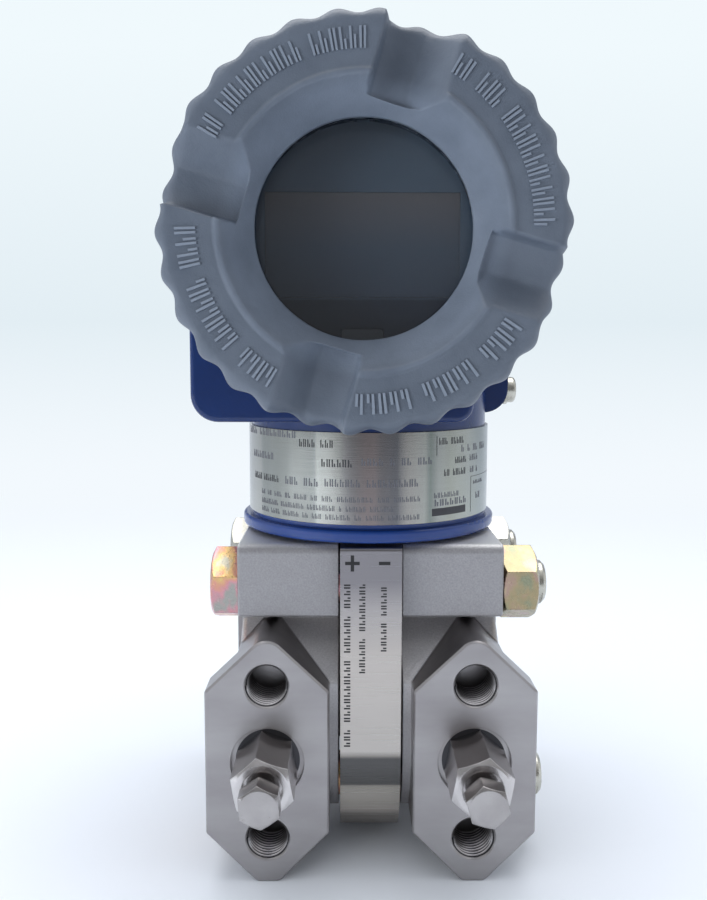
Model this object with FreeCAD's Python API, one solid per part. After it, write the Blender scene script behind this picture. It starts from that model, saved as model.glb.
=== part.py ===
import FreeCAD, Part
import math
import os

os.makedirs("parts", exist_ok=True)

# Differential pressure transmitter, in millimetres.
# +X runs to the right along the cover bolts, -Y faces the reader, +Z is up.
# The origin lies on the neck axis, at the height on which the flange pads rest.

# Clearances
turning_clearance = 0.08
sliding_clearance = 0.05
thread_clearance = 0.05
seat_clearance = 0.1

# Flange pads and their standard hole pattern
flange_spacing_x = 54.0
flange_spacing_z = 41.3
flange_hole_front_radius = 5.5
flange_hole_rear_radius = 5.55
flange_hole_depth = 13.5
flange_hole_chamfer = 0.45
pad_half_width = 16.1
pad_half_height = 32.5
pad_side_half_height = 19.2
pad_side_radius = 1.2
pad_apex_height = 34.5
pad_apex_radius = 5.0
pad_foot_half_width = 3.0
pad_foot_radius = 2.0
pad_edge_chamfer = 0.5
pad_front_y = 43.0
pad_lip_thickness = 10.0

# Process ports
port_recess_radius = 9.6
port_recess_depth = 2.2
port_radius = 6.8
port_depth = 15.5
passage_radius = 3.0
passage_y = 9.0

# Sensor body
body_thickness = 16.2
body_half_depth = 37.0
body_bottom_z = 1.0
body_rise = 0.35
body_lower_radius = 30.5
body_top_radius = 1.0
diaphragm_seat_radius = 21.3
diaphragm_seat_depth = 1.2
oil_bore_radius = 0.8
oil_bore_x = 3.0

# Diaphragms
chamber_rise = 15.4
diaphragm_thickness = 0.3
diaphragm_wave_height = 0.35
diaphragm_wave_count = 4
diaphragm_rim = 3.0

# Process covers
cover_gap = 0.5
process_cover_thickness = 26.9
head_block_half_depth = 32.2
head_block_rise = 12.35
head_block_drop = 7.0
head_block_top_radius = 2.4
head_block_low_radius = 0.8
head_block_chamfer = 0.5
bolt_y = 22.0
bolt_rise = 27.6
waist_half_depth = 20.5
flange_half_depth = 36.0
flange_bottom_drop = 11.5
flange_lower_radius = 24.0
flange_edge_radius = 1.6
chamber_radius = 21.0
chamber_depth = 2.5
gasket_inner_radius = 21.9
gasket_outer_radius = 24.5
gasket_groove_depth = 1.5

# Cover bolts and nuts
bolt_radius = 6.0
bolt_hole_radius = 6.6
bolt_head_across_flats = 18.0
bolt_head_height = 7.5
nut_height = 10.0
bolt_end_beyond_nut = 2.5
bolt_end_chamfer = 0.9
bolt_head_turn = -9.5
nut_turn = 2.3
hexagon_chamfer_share = 0.93

# Vent plugs and vent screws
plug_across_flats = 14.3
plug_hex_length = 17.8
plug_thread_length = 12.5
plug_nose_radius = 5.1
plug_nose_depth = 3.0
plug_side_hole_radius = 1.0
plug_side_hole_back = 7.0
plug_hex_turn = 19.5
screw_radius = 4.0
screw_seat_radius = 1.2
screw_seat_height = 3.0
screw_seat_lift = 0.45
screw_neck_length = 2.9
screw_across_flats = 9.5
screw_hex_length = 5.8
left_screw_turn = 34.5
right_screw_turn = 45.0

# Neck of the sensor and what it holds
neck_radius = 27.0
neck_length = 28.0
sensor_pocket_radius = 20.0
sensor_pocket_depth = 16.0
sensor_height = 9.0
sensor_pin_radius = 0.6
sensor_pin_length = 5.0
sensor_pin_circle = 12.0
sensor_pin_count = 6
neck_seal_width = 2.4
neck_seal_depth = 1.6
neck_seal_rise = 15.0
lock_screw_rise = 9.5
lock_screw_radius = 2.5
lock_screw_backed_off = 0.3
lock_screw_socket = 2.5
lock_screw_socket_depth = 3.0

# Housing
housing_x = -2.4
neck_gap = 0.9
ring_radius = 36.8
ring_height = 3.3
ring_edge_radius = 0.8
shell_neck_radius = 34.2
shell_neck_length = 31.9
axis_rise = 46.6
barrel_half_length = 39.5
housing_barrel_radius = 44.5
compartment_radius = 38.5
centre_wall = 12.0
block_reach = 43.6
block_short_reach = 28.2
block_height = 36.0
block_long_radius = 7.0
block_short_radius = 4.5
conduit_radius = 10.4
conduit_rise = 18.0
conduit_inset = 20.0
conduit_chamfer = 0.8
conduit_depth = 24.0
wire_bore_radius = 6.0
wire_bore_y = 13.0
shell_edge_radius = 1.2

# Nameplate band
band_thickness = 0.75
band_drop_gap = 1.3
band_height = 24.3
band_slit = 7.0

# Threaded compartment covers
cover_radius = 48.6
cover_seat_gap = 0.5
front_cover_depth = 20.0
rear_cover_depth = 15.0
cover_edge_radius = 2.2
scallop_count = 30
scallop_depth = 1.7
scallop_radius = 4.5
scallop_phase = 10.2
groove_count = 4
groove_phase = 16.3
groove_inner_radius = 28.5
groove_depth = 8.2
groove_half_width = 8.6
groove_floor_left = 7.4
groove_floor_right = 1.5
groove_left_radius = 2.0
groove_right_radius = 5.0
ridge_radius = 33.0
ridge_width = 1.2
ridge_height = 0.7
window_radius = 26.0
window_depth = 9.6
window_lip = 1.9
blind_recess_depth = 2.5
spigot_length = 9.5
spigot_wall = 4.0
seal_width = 2.8
seal_groove_depth = 1.0

# Window
glass_radius = 32.0
glass_thickness = 8.0
glass_edge_chamfer = 0.4
window_gasket_thickness = 1.0
retaining_ring_thickness = 3.5
retaining_ring_inner_radius = 27.5
ring_slot_width = 3.0
ring_slot_depth = 1.5

# Display and electronics
module_radius = 36.6
module_flange_thickness = 4.5
module_depth = 15.5
display_boss_radius = 30.5
display_boss_height = 7.5
lcd_width = 50.0
lcd_height = 26.6
lcd_thickness = 1.6
lcd_drop = 1.6
lcd_pocket_depth = 1.2
button_width = 10.7
button_height = 4.0
button_corner_radius = 0.8
button_drop = 25.0
button_gap = 0.2
button_length = 5.0
button_proud = 0.8
button_travel = 1.0
module_screw_radius = 1.5
module_screw_circle = 33.6
module_screw_head_radius = 2.7
module_screw_head_height = 1.8
module_screw_grip = 5.0

# Terminals
terminal_width = 52.0
terminal_height = 24.0
terminal_depth = 12.0
terminal_rib_height = 5.0
terminal_rib_width = 2.5
terminal_pitch = 16.0
terminal_count = 3
terminal_screw_radius = 1.9
terminal_screw_length = 6.0
terminal_head_radius = 3.6
terminal_head_height = 2.6
terminal_edge_radius = 2.0
inner_ground_drop = 27.0
slot_width = 1.0
slot_depth = 1.2

# Outside ground screw
ground_y = 8.5
ground_rise = 6.4
ground_screw_radius = 2.0
ground_screw_length = 9.0
ground_head_radius = 3.9
ground_head_height = 2.6
ground_washer_radius = 4.4
ground_washer_thickness = 0.9

# Plug of the unused conduit entry
conduit_plug_length = 11.0
conduit_plug_socket = 10.0
conduit_plug_socket_depth = 7.0

# Places that follow from the sizes above
port_x = flange_spacing_x / 2
port_z = pad_half_height
chamber_z = port_z + chamber_rise
upper_bolt_z = chamber_z + bolt_rise
lower_bolt_z = chamber_z - bolt_rise
body_face_x = body_thickness / 2
cover_inner_x = body_face_x + cover_gap
cover_outer_x = cover_inner_x + process_cover_thickness
process_cover_top_z = upper_bolt_z + head_block_rise
body_top_z = process_cover_top_z + body_rise
neck_top_z = body_top_z + neck_length
shell_bottom_z = body_top_z + neck_gap
block_bottom_z = shell_bottom_z + shell_neck_length
axis_z = block_bottom_z + axis_rise
wall_half = centre_wall / 2
conduit_y = barrel_half_length - conduit_inset

FRONT = FreeCAD.Vector(0, -1, 0)
REAR = FreeCAD.Vector(0, 1, 0)
RIGHT = FreeCAD.Vector(1, 0, 0)
LEFT = FreeCAD.Vector(-1, 0, 0)
UP = FreeCAD.Vector(0, 0, 1)
ORIGIN = FreeCAD.Vector(0, 0, 0)


def point(x, y, z):
    return FreeCAD.Vector(x, y, z)


def block(low_x, high_x, low_y, high_y, low_z, high_z):
    return Part.makeBox(high_x - low_x, high_y - low_y, high_z - low_z, point(low_x, low_y, low_z))


def rod(radius, length, start, axis):
    return Part.makeCylinder(radius, length, start, axis)


def flat_xy(a, b):
    return point(a, b, 0)


def flat_xz(a, b):
    return point(a, 0, b)


def flat_yz(a, b):
    return point(0, a, b)


def rounded_face(corners, to_space):
    """A closed face through corners (a, b, radius), each corner rounded by its radius."""
    arcs = []
    count = len(corners)
    for i in range(count):
        a, b, radius = corners[i]
        here = point(a, b, 0)
        before = point(corners[i - 1][0], corners[i - 1][1], 0) - here
        after = point(corners[(i + 1) % count][0], corners[(i + 1) % count][1], 0) - here
        half_angle = before.getAngle(after) / 2
        before.normalize()
        after.normalize()
        inward = before + after
        if radius > 0:
            inward.normalize()
            reach = radius / math.tan(half_angle)
            depth = radius / math.sin(half_angle) - radius
            arcs.append((here + before * reach, here + inward * depth, here + after * reach))
        else:
            arcs.append((here, here, here))
    edges = []
    for i in range(count):
        start, middle, end = arcs[i]
        following = arcs[(i + 1) % count][0]
        if (start - end).Length > 1e-6:
            ends = [to_space(p.x, p.y) for p in (start, middle, end)]
            edges.append(Part.Arc(*ends).toShape())
        if (end - following).Length > 1e-6:
            edges.append(Part.makeLine(to_space(end.x, end.y), to_space(following.x, following.y)))
    return Part.Face(Part.Wire(edges))


def turned(corners):
    """A solid of revolution about the local Z axis, from corners (radius, height, rounding)."""
    return rounded_face(corners, flat_xz).revolve(ORIGIN, UP, 360)


def ring(inner, outer, low, high):
    return turned([(inner, low, 0), (outer, low, 0), (outer, high, 0), (inner, high, 0)])


def placed(shape, start, axis, turn=0):
    """A copy of a shape built along the local Z axis, turned and then laid along an axis."""
    copy = shape.copy()
    copy.rotate(ORIGIN, UP, turn)
    copy.Placement = FreeCAD.Placement(start, FreeCAD.Rotation(UP, axis)).multiply(copy.Placement)
    return copy


def moved(shape, x, y, z):
    copy = shape.copy()
    copy.translate(point(x, y, z))
    return copy


def hexagon_bar(across_flats, length, chamfer_low, chamfer_high):
    """A hexagonal bar along local Z, with the turned chamfer of a bolt head at its ends."""
    corner_radius = across_flats / math.sqrt(3)
    corners = []
    for i in range(6):
        angle = math.radians(60 * i)
        corners.append((corner_radius * math.cos(angle), corner_radius * math.sin(angle), 0))
    bar = rounded_face(corners, flat_xy).extrude(point(0, 0, length))
    flat_radius = across_flats / 2 * hexagon_chamfer_share
    drop = (corner_radius - flat_radius) * math.tan(math.radians(30))
    low = flat_radius if chamfer_low else corner_radius
    high = flat_radius if chamfer_high else corner_radius
    blank = [(0, 0, 0), (low, 0, 0), (corner_radius, drop, 0)]
    blank += [(corner_radius, length - drop, 0), (high, length, 0), (0, length, 0)]
    if not chamfer_low:
        blank.remove((corner_radius, drop, 0))
    if not chamfer_high:
        blank.remove((corner_radius, length - drop, 0))
    return bar.common(turned(blank))


def save(name, shape):
    """Write one sub-part, with merged faces, to its own file."""
    shape.removeSplitter().exportStep("parts/" + name + ".step")


def solids_of(shapes):
    return Part.makeCompound([solid for shape in shapes for solid in shape.Solids])


def bolt_places():
    """The four cover bolts, as (y, z)."""
    return [(y, z) for z in (upper_bolt_z, lower_bolt_z) for y in (-bolt_y, bolt_y)]


def sensor_body():
    """The machined plate between the covers, with the round neck that carries the housing."""
    corners = [
        (-body_half_depth, body_top_z, body_top_radius),
        (-body_half_depth, body_bottom_z, body_lower_radius),
        (body_half_depth, body_bottom_z, body_lower_radius),
        (body_half_depth, body_top_z, body_top_radius),
    ]
    plate = rounded_face(corners, flat_yz).extrude(point(body_thickness, 0, 0))
    shape = moved(plate, -body_face_x, 0, 0)
    shape = shape.fuse(rod(neck_radius, neck_length, point(0, 0, body_top_z), UP))
    cuts = []
    for y, z in bolt_places():
        cuts.append(rod(bolt_hole_radius, body_thickness, point(-body_face_x, y, z), RIGHT))
    pocket_z = neck_top_z - sensor_pocket_depth
    cuts.append(rod(sensor_pocket_radius, sensor_pocket_depth, point(0, 0, pocket_z), UP))
    seat_x = body_face_x - diaphragm_seat_depth
    for side, axis in ((-1, LEFT), (1, RIGHT)):
        start = point(side * seat_x, 0, chamber_z)
        cuts.append(rod(diaphragm_seat_radius, diaphragm_seat_depth, start, axis))
        inner = point(side * oil_bore_x, 0, chamber_z)
        cuts.append(rod(oil_bore_radius, seat_x - oil_bore_x, inner, axis))
        cuts.append(rod(oil_bore_radius, pocket_z - chamber_z, inner, UP))
    groove_z = body_top_z + neck_seal_rise
    inner_radius = neck_radius - neck_seal_depth
    cuts.append(ring(inner_radius, neck_radius + 1, groove_z, groove_z + neck_seal_width))
    return shape.cut(cuts)


def neck_seal():
    """The ring in the groove of the sensor neck, on which the housing turns."""
    low = body_top_z + neck_seal_rise + sliding_clearance
    high = low + neck_seal_width - 2 * sliding_clearance
    inner = neck_radius - neck_seal_depth
    return ring(inner + sliding_clearance, neck_radius + sliding_clearance, low, high)


def pressure_sensor():
    """The sensing element with its glass-sealed pins, in the pocket of the neck."""
    low = neck_top_z - sensor_pocket_depth
    radius = sensor_pocket_radius - sliding_clearance
    shape = rod(radius, sensor_height, point(0, 0, low), UP)
    for i in range(sensor_pin_count):
        angle = 2 * math.pi * i / sensor_pin_count
        x = sensor_pin_circle * math.cos(angle)
        y = sensor_pin_circle * math.sin(angle)
        start = point(x, y, low + sensor_height)
        shape = shape.fuse(rod(sensor_pin_radius, sensor_pin_length, start, UP))
    return shape


def diaphragm():
    """The right isolating diaphragm: a thin disc with ring-shaped waves and a flat rim."""
    radius = diaphragm_seat_radius - seat_clearance
    wave = (radius - diaphragm_rim) / diaphragm_wave_count / 2
    lower = [(radius, 0)]
    reach = radius - diaphragm_rim
    for i in range(2 * diaphragm_wave_count):
        lower.append((reach - i * wave, diaphragm_wave_height * (i % 2)))
    lower.append((0, 0))
    corners = [(r, h, 0) for r, h in lower]
    corners += [(r, h + diaphragm_thickness, 0) for r, h in reversed(lower)]
    start = point(body_face_x - diaphragm_seat_depth, 0, chamber_z)
    return placed(turned(corners), start, RIGHT)


def cover_gasket():
    """The right ring that seals the chamber, from the groove of the cover to the body."""
    inner = gasket_inner_radius + seat_clearance
    outer = gasket_outer_radius - seat_clearance
    start = point(body_face_x, 0, chamber_z)
    return placed(ring(inner, outer, 0, cover_gap + gasket_groove_depth), start, RIGHT)


def flange_pad(side):
    """One hexagonal flange pad of the right cover, at the front (-1) or the rear (1)."""
    corners = [
        (0, pad_apex_height, pad_apex_radius),
        (pad_half_width, pad_side_half_height, pad_side_radius),
        (pad_half_width, -pad_side_half_height, pad_side_radius),
        (pad_foot_half_width, -pad_half_height, pad_foot_radius),
        (-pad_foot_half_width, -pad_half_height, pad_foot_radius),
        (-pad_half_width, -pad_side_half_height, pad_side_radius),
        (-pad_half_width, pad_side_half_height, pad_side_radius),
    ]
    length = pad_front_y - waist_half_depth
    pad = rounded_face(corners, flat_xz).extrude(point(0, -length, 0))
    rim = [edge for edge in pad.Edges if edge.BoundBox.YMax < -length + 1e-3]
    pad = pad.makeChamfer(pad_edge_chamfer, rim)
    pad.translate(point(port_x, -waist_half_depth, port_z))
    spot_y = pad_front_y - pad_lip_thickness
    pad = pad.cut(block(cover_outer_x, 2 * cover_outer_x, -spot_y, 0, -pad_half_height, 3 * port_z))
    if side > 0:
        pad = pad.mirror(ORIGIN, REAR)
    return pad


def port_cuts(side):
    """The port, its passage to the chamber and the two flange holes, at the front or the rear."""
    cuts = []
    axis = REAR if side < 0 else FRONT
    face = point(port_x, side * pad_front_y, port_z)
    cuts.append(rod(port_recess_radius, port_recess_depth, face, axis))
    cuts.append(rod(port_radius, port_depth, face, axis))
    cuts.append(rod(passage_radius, pad_front_y - passage_y, face, axis))
    passage = point(cover_inner_x, side * passage_y, port_z)
    cuts.append(rod(passage_radius, port_x - cover_inner_x, passage, RIGHT))
    hole_radius = flange_hole_front_radius if side < 0 else flange_hole_rear_radius
    mouth = hole_radius + flange_hole_chamfer
    for step in (-1, 1):
        start = face + point(0, 0, step * flange_spacing_z / 2)
        cuts.append(rod(hole_radius, flange_hole_depth, start, axis))
        cuts.append(Part.makeCone(mouth, hole_radius, flange_hole_chamfer, start, axis))
    return cuts


def cover_head_block():
    """The cast block above the right cover's flange, through which the upper bolts pass."""
    low_z = upper_bolt_z - head_block_drop
    foot_z = port_z + pad_half_height
    corners = [
        (-waist_half_depth, foot_z, 0),
        (-head_block_half_depth, low_z, head_block_low_radius),
        (-head_block_half_depth, process_cover_top_z, head_block_top_radius),
        (head_block_half_depth, process_cover_top_z, head_block_top_radius),
        (head_block_half_depth, low_z, head_block_low_radius),
        (waist_half_depth, foot_z, 0),
    ]
    slab = rounded_face(corners, flat_yz).extrude(point(process_cover_thickness, 0, 0))
    rim = []
    for edge in slab.Edges:
        box = edge.BoundBox
        if box.XMin > process_cover_thickness - 1e-3 and box.ZMax > foot_z + 1e-3:
            rim.append(edge)
    slab = slab.makeChamfer(head_block_chamfer, rim)
    return moved(slab, cover_inner_x, 0, 0)


def process_cover():
    """The right process cover: a cast flange with a block for two bolts above and two flange pads."""
    shoulder_z = port_z + pad_side_half_height
    slope_top_z = port_z + pad_half_height
    bottom_z = lower_bolt_z - flange_bottom_drop
    corners = [
        (-waist_half_depth, slope_top_z, 0),
        (-flange_half_depth, shoulder_z, flange_edge_radius),
        (-flange_half_depth, bottom_z, flange_lower_radius),
        (flange_half_depth, bottom_z, flange_lower_radius),
        (flange_half_depth, shoulder_z, flange_edge_radius),
        (waist_half_depth, slope_top_z, 0),
    ]
    flange = rounded_face(corners, flat_yz).extrude(point(process_cover_thickness, 0, 0))
    rim = [edge for edge in flange.Edges if edge.BoundBox.XMin > process_cover_thickness - 1e-3]
    flange = flange.makeFillet(flange_edge_radius, rim)
    flange.translate(point(cover_inner_x, 0, 0))
    waist_low = (lower_bolt_z + chamber_z) / 2
    waist_high = upper_bolt_z - head_block_drop
    waist = block(cover_inner_x, cover_outer_x, -waist_half_depth, waist_half_depth,
                  waist_low, waist_high)
    shape = flange.fuse([waist, cover_head_block(), flange_pad(-1), flange_pad(1)])
    cuts = port_cuts(-1) + port_cuts(1)
    for y, z in bolt_places():
        start = point(cover_inner_x, y, z)
        cuts.append(rod(bolt_hole_radius, process_cover_thickness, start, RIGHT))
    centre = point(cover_inner_x, 0, chamber_z)
    cuts.append(rod(chamber_radius, chamber_depth, centre, RIGHT))
    groove = ring(gasket_inner_radius, gasket_outer_radius, 0, gasket_groove_depth)
    cuts.append(placed(groove, centre, RIGHT))
    return shape.cut(cuts)


def cover_bolts():
    """Four hex bolts, put in from the left."""
    grip = 2 * cover_outer_x
    reach = grip + nut_height + bolt_end_beyond_nut
    shank_corners = [
        (0, 0, 0),
        (bolt_radius, 0, 0),
        (bolt_radius, reach - bolt_end_chamfer, 0),
        (bolt_radius - bolt_end_chamfer, reach, 0),
        (0, reach, 0),
    ]
    shank = turned(shank_corners)
    head = hexagon_bar(bolt_head_across_flats, bolt_head_height, False, True)
    bolts = []
    for y, z in bolt_places():
        start = point(-cover_outer_x, y, z)
        bolt = placed(shank, start, RIGHT).fuse(placed(head, start, LEFT, bolt_head_turn))
        bolts.append(bolt.removeSplitter())
    return solids_of(bolts)


def cover_nuts():
    """Four hex nuts on the right ends of the bolts."""
    nut = hexagon_bar(bolt_head_across_flats, nut_height, True, True)
    nut = nut.cut(rod(bolt_radius + thread_clearance, nut_height, ORIGIN, UP))
    nuts = []
    for y, z in bolt_places():
        nuts.append(placed(nut, point(cover_outer_x, y, z), RIGHT, nut_turn))
    return solids_of(nuts)


def vent_face_y():
    """How far the face of the vent plug stands in front of the neck axis."""
    return pad_front_y - port_recess_depth + plug_hex_length


def vent_plug():
    """The right front plug: a hexagon with a threaded end in the port and a bore for the screw."""
    hexagon = hexagon_bar(plug_across_flats, plug_hex_length, False, True)
    stem = rod(port_radius - thread_clearance, plug_thread_length, ORIGIN, UP * -1)
    bore_depth = plug_hex_length + plug_thread_length - screw_seat_height
    bore = rod(screw_radius, bore_depth, point(0, 0, plug_hex_length - bore_depth), UP)
    seat_low = -plug_thread_length
    seat = Part.makeCone(screw_seat_radius, screw_radius, screw_seat_height, point(0, 0, seat_low), UP)
    nose = rod(plug_nose_radius, plug_nose_depth, point(0, 0, plug_hex_length - plug_nose_depth), UP)
    side_z = plug_hex_length - plug_side_hole_back
    side = rod(plug_side_hole_radius, plug_across_flats, point(0, 0, side_z), FRONT)
    shape = hexagon.fuse(stem).cut([bore, seat, nose, side])
    start = point(port_x, -(pad_front_y - port_recess_depth), port_z)
    return placed(shape, start, FRONT, plug_hex_turn)


def vent_screw(side, turn):
    """A vent screw, left (-1) or right (1): a needle in the plug's bore, with a hexagon outside."""
    radius = screw_radius - sliding_clearance
    inner_length = plug_hex_length + plug_thread_length - screw_seat_lift
    tip = screw_seat_height * (radius - screw_seat_radius) / (screw_radius - screw_seat_radius)
    corners = [
        (0, -inner_length, 0),
        (screw_seat_radius, -inner_length, 0),
        (radius, tip - inner_length, 0),
        (radius, screw_neck_length, 0),
        (0, screw_neck_length, 0),
    ]
    stem = turned(corners)
    hexagon = hexagon_bar(screw_across_flats, screw_hex_length, True, True)
    hexagon = placed(hexagon, point(0, 0, screw_neck_length), UP, turn)
    start = point(side * port_x, -vent_face_y(), port_z)
    return placed(stem.fuse(hexagon), start, FRONT)


def half_block():
    """The front half of the housing's lower block, which reaches further to the left."""
    top_z = block_bottom_z + block_height
    corners = [
        (-block_reach, block_bottom_z, block_long_radius),
        (block_short_reach, block_bottom_z, block_short_radius),
        (block_short_reach, top_z, block_short_radius),
        (-block_reach, top_z, block_long_radius),
    ]
    slab = rounded_face(corners, flat_xz).extrude(point(0, -barrel_half_length, 0))
    rim = [edge for edge in slab.Edges if edge.BoundBox.YMax < -barrel_half_length + 1e-3]
    return slab.makeFillet(shell_edge_radius, rim)


def housing_neck():
    """The round neck with the ring at its foot."""
    top = block_bottom_z + block_height / 2
    corners = [
        (0, shell_bottom_z, 0),
        (ring_radius, shell_bottom_z, ring_edge_radius),
        (ring_radius, shell_bottom_z + ring_height, ring_edge_radius),
        (shell_neck_radius, shell_bottom_z + ring_height, 0),
        (shell_neck_radius, top, 0),
        (0, top, 0),
    ]
    return turned(corners)


def conduit_cut(side):
    """The threaded conduit entry, on the left in front (-1) or on the right behind (1)."""
    axis = RIGHT if side < 0 else LEFT
    start = point(side * block_reach, side * conduit_y, block_bottom_z + conduit_rise)
    bore = rod(conduit_radius, conduit_depth, start, axis)
    mouth = conduit_radius + conduit_chamfer
    return bore.fuse(Part.makeCone(mouth, conduit_radius, conduit_chamfer, start, axis))


def housing():
    """The cast housing: two compartments, two conduit entries and the neck below."""
    front_half = half_block()
    rear_half = half_block()
    rear_half.rotate(ORIGIN, UP, 180)
    barrel_start = point(0, -barrel_half_length, axis_z)
    barrel = rod(housing_barrel_radius, 2 * barrel_half_length, barrel_start, REAR)
    depth = barrel_half_length - wall_half
    cuts = [conduit_cut(-1), conduit_cut(1)]
    cuts.append(rod(compartment_radius, depth, barrel_start, REAR))
    cuts.append(rod(compartment_radius, depth, point(0, barrel_half_length, axis_z), FRONT))
    module_hole = module_screw_radius + thread_clearance
    for x in (-module_screw_circle, module_screw_circle):
        cuts.append(rod(module_hole, module_screw_grip, point(x, -wall_half, axis_z), REAR))
    ground_hole = ground_screw_radius + thread_clearance
    ground_z = block_bottom_z + ground_rise
    cuts.append(rod(ground_hole, ground_screw_length, point(block_reach, ground_y, ground_z), LEFT))
    inner_hole = terminal_screw_radius + thread_clearance
    inner_start = point(0, wall_half, axis_z - inner_ground_drop)
    cuts.append(rod(inner_hole, module_screw_grip, inner_start, FRONT))
    cuts = [moved(cut, housing_x, 0, 0) for cut in cuts]
    bore_length = neck_top_z + seat_clearance - shell_bottom_z
    bore_start = point(0, 0, shell_bottom_z)
    cuts.append(rod(neck_radius + turning_clearance, bore_length, bore_start, UP))
    wire_length = axis_z - compartment_radius / 2 - neck_top_z
    cuts.append(rod(wire_bore_radius, wire_length, point(0, -wire_bore_y, neck_top_z), UP))
    lock_hole = lock_screw_radius + thread_clearance
    cuts.append(rod(lock_hole, ring_radius, lock_screw_start(), REAR))
    shape = barrel.fuse([front_half, rear_half])
    return moved(shape, housing_x, 0, 0).fuse(housing_neck()).cut(cuts)


def lock_screw_start():
    """The inner end of the lock screw, just off the sensor neck, so that the housing can turn."""
    return point(0, neck_radius + lock_screw_backed_off, body_top_z + lock_screw_rise)


def neck_lock_screw():
    """The headless screw with a hexagon socket that locks the housing on the sensor neck."""
    start = lock_screw_start()
    length = shell_neck_radius - start.y
    shape = rod(lock_screw_radius, length, ORIGIN, UP)
    socket = hexagon_bar(lock_screw_socket, lock_screw_socket_depth, False, False)
    return placed(shape.cut(moved(socket, 0, 0, length - lock_screw_socket_depth)), start, REAR)


def nameplate_band():
    """The metal band round the neck, open at the rear, where the lock screw is reached."""
    low = shell_bottom_z + ring_height + band_drop_gap
    inner = shell_neck_radius + sliding_clearance
    band = ring(inner, inner + band_thickness, low, low + band_height)
    slit = block(-band_slit / 2, band_slit / 2, 0, 2 * ring_radius, low, low + band_height)
    return band.cut(slit)


def scallop_and_groove_cuts(depth):
    """The scallops round a compartment cover and the four grooves for a bar in its face."""
    cuts = []
    face_z = cover_seat_gap + depth
    centre = cover_radius - scallop_depth + scallop_radius
    for i in range(scallop_count):
        angle = math.radians(scallop_phase + 360 / scallop_count * i)
        start = point(centre * math.sin(angle), centre * math.cos(angle), 0)
        cuts.append(rod(scallop_radius, face_z + 1, start, UP))
    floor_z = face_z - groove_depth
    corners = [
        (-groove_half_width, face_z + 1, 0),
        (-groove_floor_left, floor_z, groove_left_radius),
        (groove_floor_right, floor_z, groove_right_radius),
        (groove_half_width, face_z + 1, 0),
    ]
    length = cover_radius + 1 - groove_inner_radius
    groove = rounded_face(corners, flat_xz).extrude(point(0, length, 0))
    groove.translate(point(0, groove_inner_radius, 0))
    for i in range(groove_count):
        turned_groove = groove.copy()
        turned_groove.rotate(ORIGIN, UP, -groove_phase - 360 / groove_count * i)
        cuts.append(turned_groove)
    return cuts


def cover_outside(depth):
    """The corners of a cover's outside, from the ridge round its face to the end of its spigot."""
    face_z = cover_seat_gap + depth
    ledge = face_z - ridge_height
    spigot = compartment_radius - turning_clearance
    return [
        (ridge_radius, face_z, 0),
        (ridge_radius + ridge_width, face_z, 0),
        (ridge_radius + ridge_width + ridge_height, ledge, 0),
        (cover_radius, ledge, cover_edge_radius),
        (cover_radius, cover_seat_gap, 0),
        (spigot + seal_width, cover_seat_gap, 0),
        (spigot + seal_width, cover_seat_gap + seal_groove_depth, 0),
        (spigot, cover_seat_gap + seal_groove_depth, 0),
        (spigot, -spigot_length, 0),
    ]


def glass_pocket_radius():
    return glass_radius + seat_clearance


def front_cover():
    """The cover with the window: a funnel leads to the lip that holds the glass."""
    face_z = cover_seat_gap + front_cover_depth
    window_z = face_z - window_depth
    pocket = glass_pocket_radius()
    corners = cover_outside(front_cover_depth)
    corners += [
        (pocket, -spigot_length, 0),
        (pocket, window_z - window_lip, 0),
        (window_radius, window_z - window_lip, 0),
        (window_radius, window_z, 0),
    ]
    shape = turned(corners).cut(scallop_and_groove_cuts(front_cover_depth))
    return placed(shape, point(housing_x, -barrel_half_length, axis_z), FRONT)


def rear_cover():
    """The blind cover of the terminal compartment, with a shallow dished face."""
    face_z = cover_seat_gap + rear_cover_depth
    recess_z = face_z - blind_recess_depth
    inner = compartment_radius - turning_clearance - spigot_wall
    corners = [(0, recess_z, 0), (groove_inner_radius, recess_z, 0)]
    corners += cover_outside(rear_cover_depth)
    corners += [(inner, -spigot_length, 0), (inner, cover_seat_gap + seal_groove_depth, 0)]
    corners += [(0, cover_seat_gap + seal_groove_depth, 0)]
    shape = turned(corners).cut(scallop_and_groove_cuts(rear_cover_depth))
    return placed(shape, point(housing_x, barrel_half_length, axis_z), REAR)


def cover_seal(axis):
    """The ring between a compartment cover and the housing."""
    inner = compartment_radius - turning_clearance + sliding_clearance
    outer = compartment_radius - turning_clearance + seal_width - sliding_clearance
    shape = ring(inner, outer, 0, cover_seat_gap + seal_groove_depth)
    return placed(shape, point(housing_x, axis.y * barrel_half_length, axis_z), axis)


def window_seat_z():
    """Height of the lip on which the window gasket lies, above the housing's end face."""
    return cover_seat_gap + front_cover_depth - window_depth - window_lip


def on_front_cover(shape):
    return placed(shape, point(housing_x, -barrel_half_length, axis_z), FRONT)


def window_gasket():
    high = window_seat_z()
    return on_front_cover(ring(window_radius + 0.5, glass_radius, high - window_gasket_thickness, high))


def window_glass():
    """The thick flat disc of the window."""
    high = window_seat_z() - window_gasket_thickness
    low = high - glass_thickness
    bevel = glass_edge_chamfer
    corners = [(0, low, 0), (glass_radius - bevel, low, 0), (glass_radius, low + bevel, 0)]
    corners += [(glass_radius, high - bevel, 0), (glass_radius - bevel, high, 0), (0, high, 0)]
    return on_front_cover(turned(corners))


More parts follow.
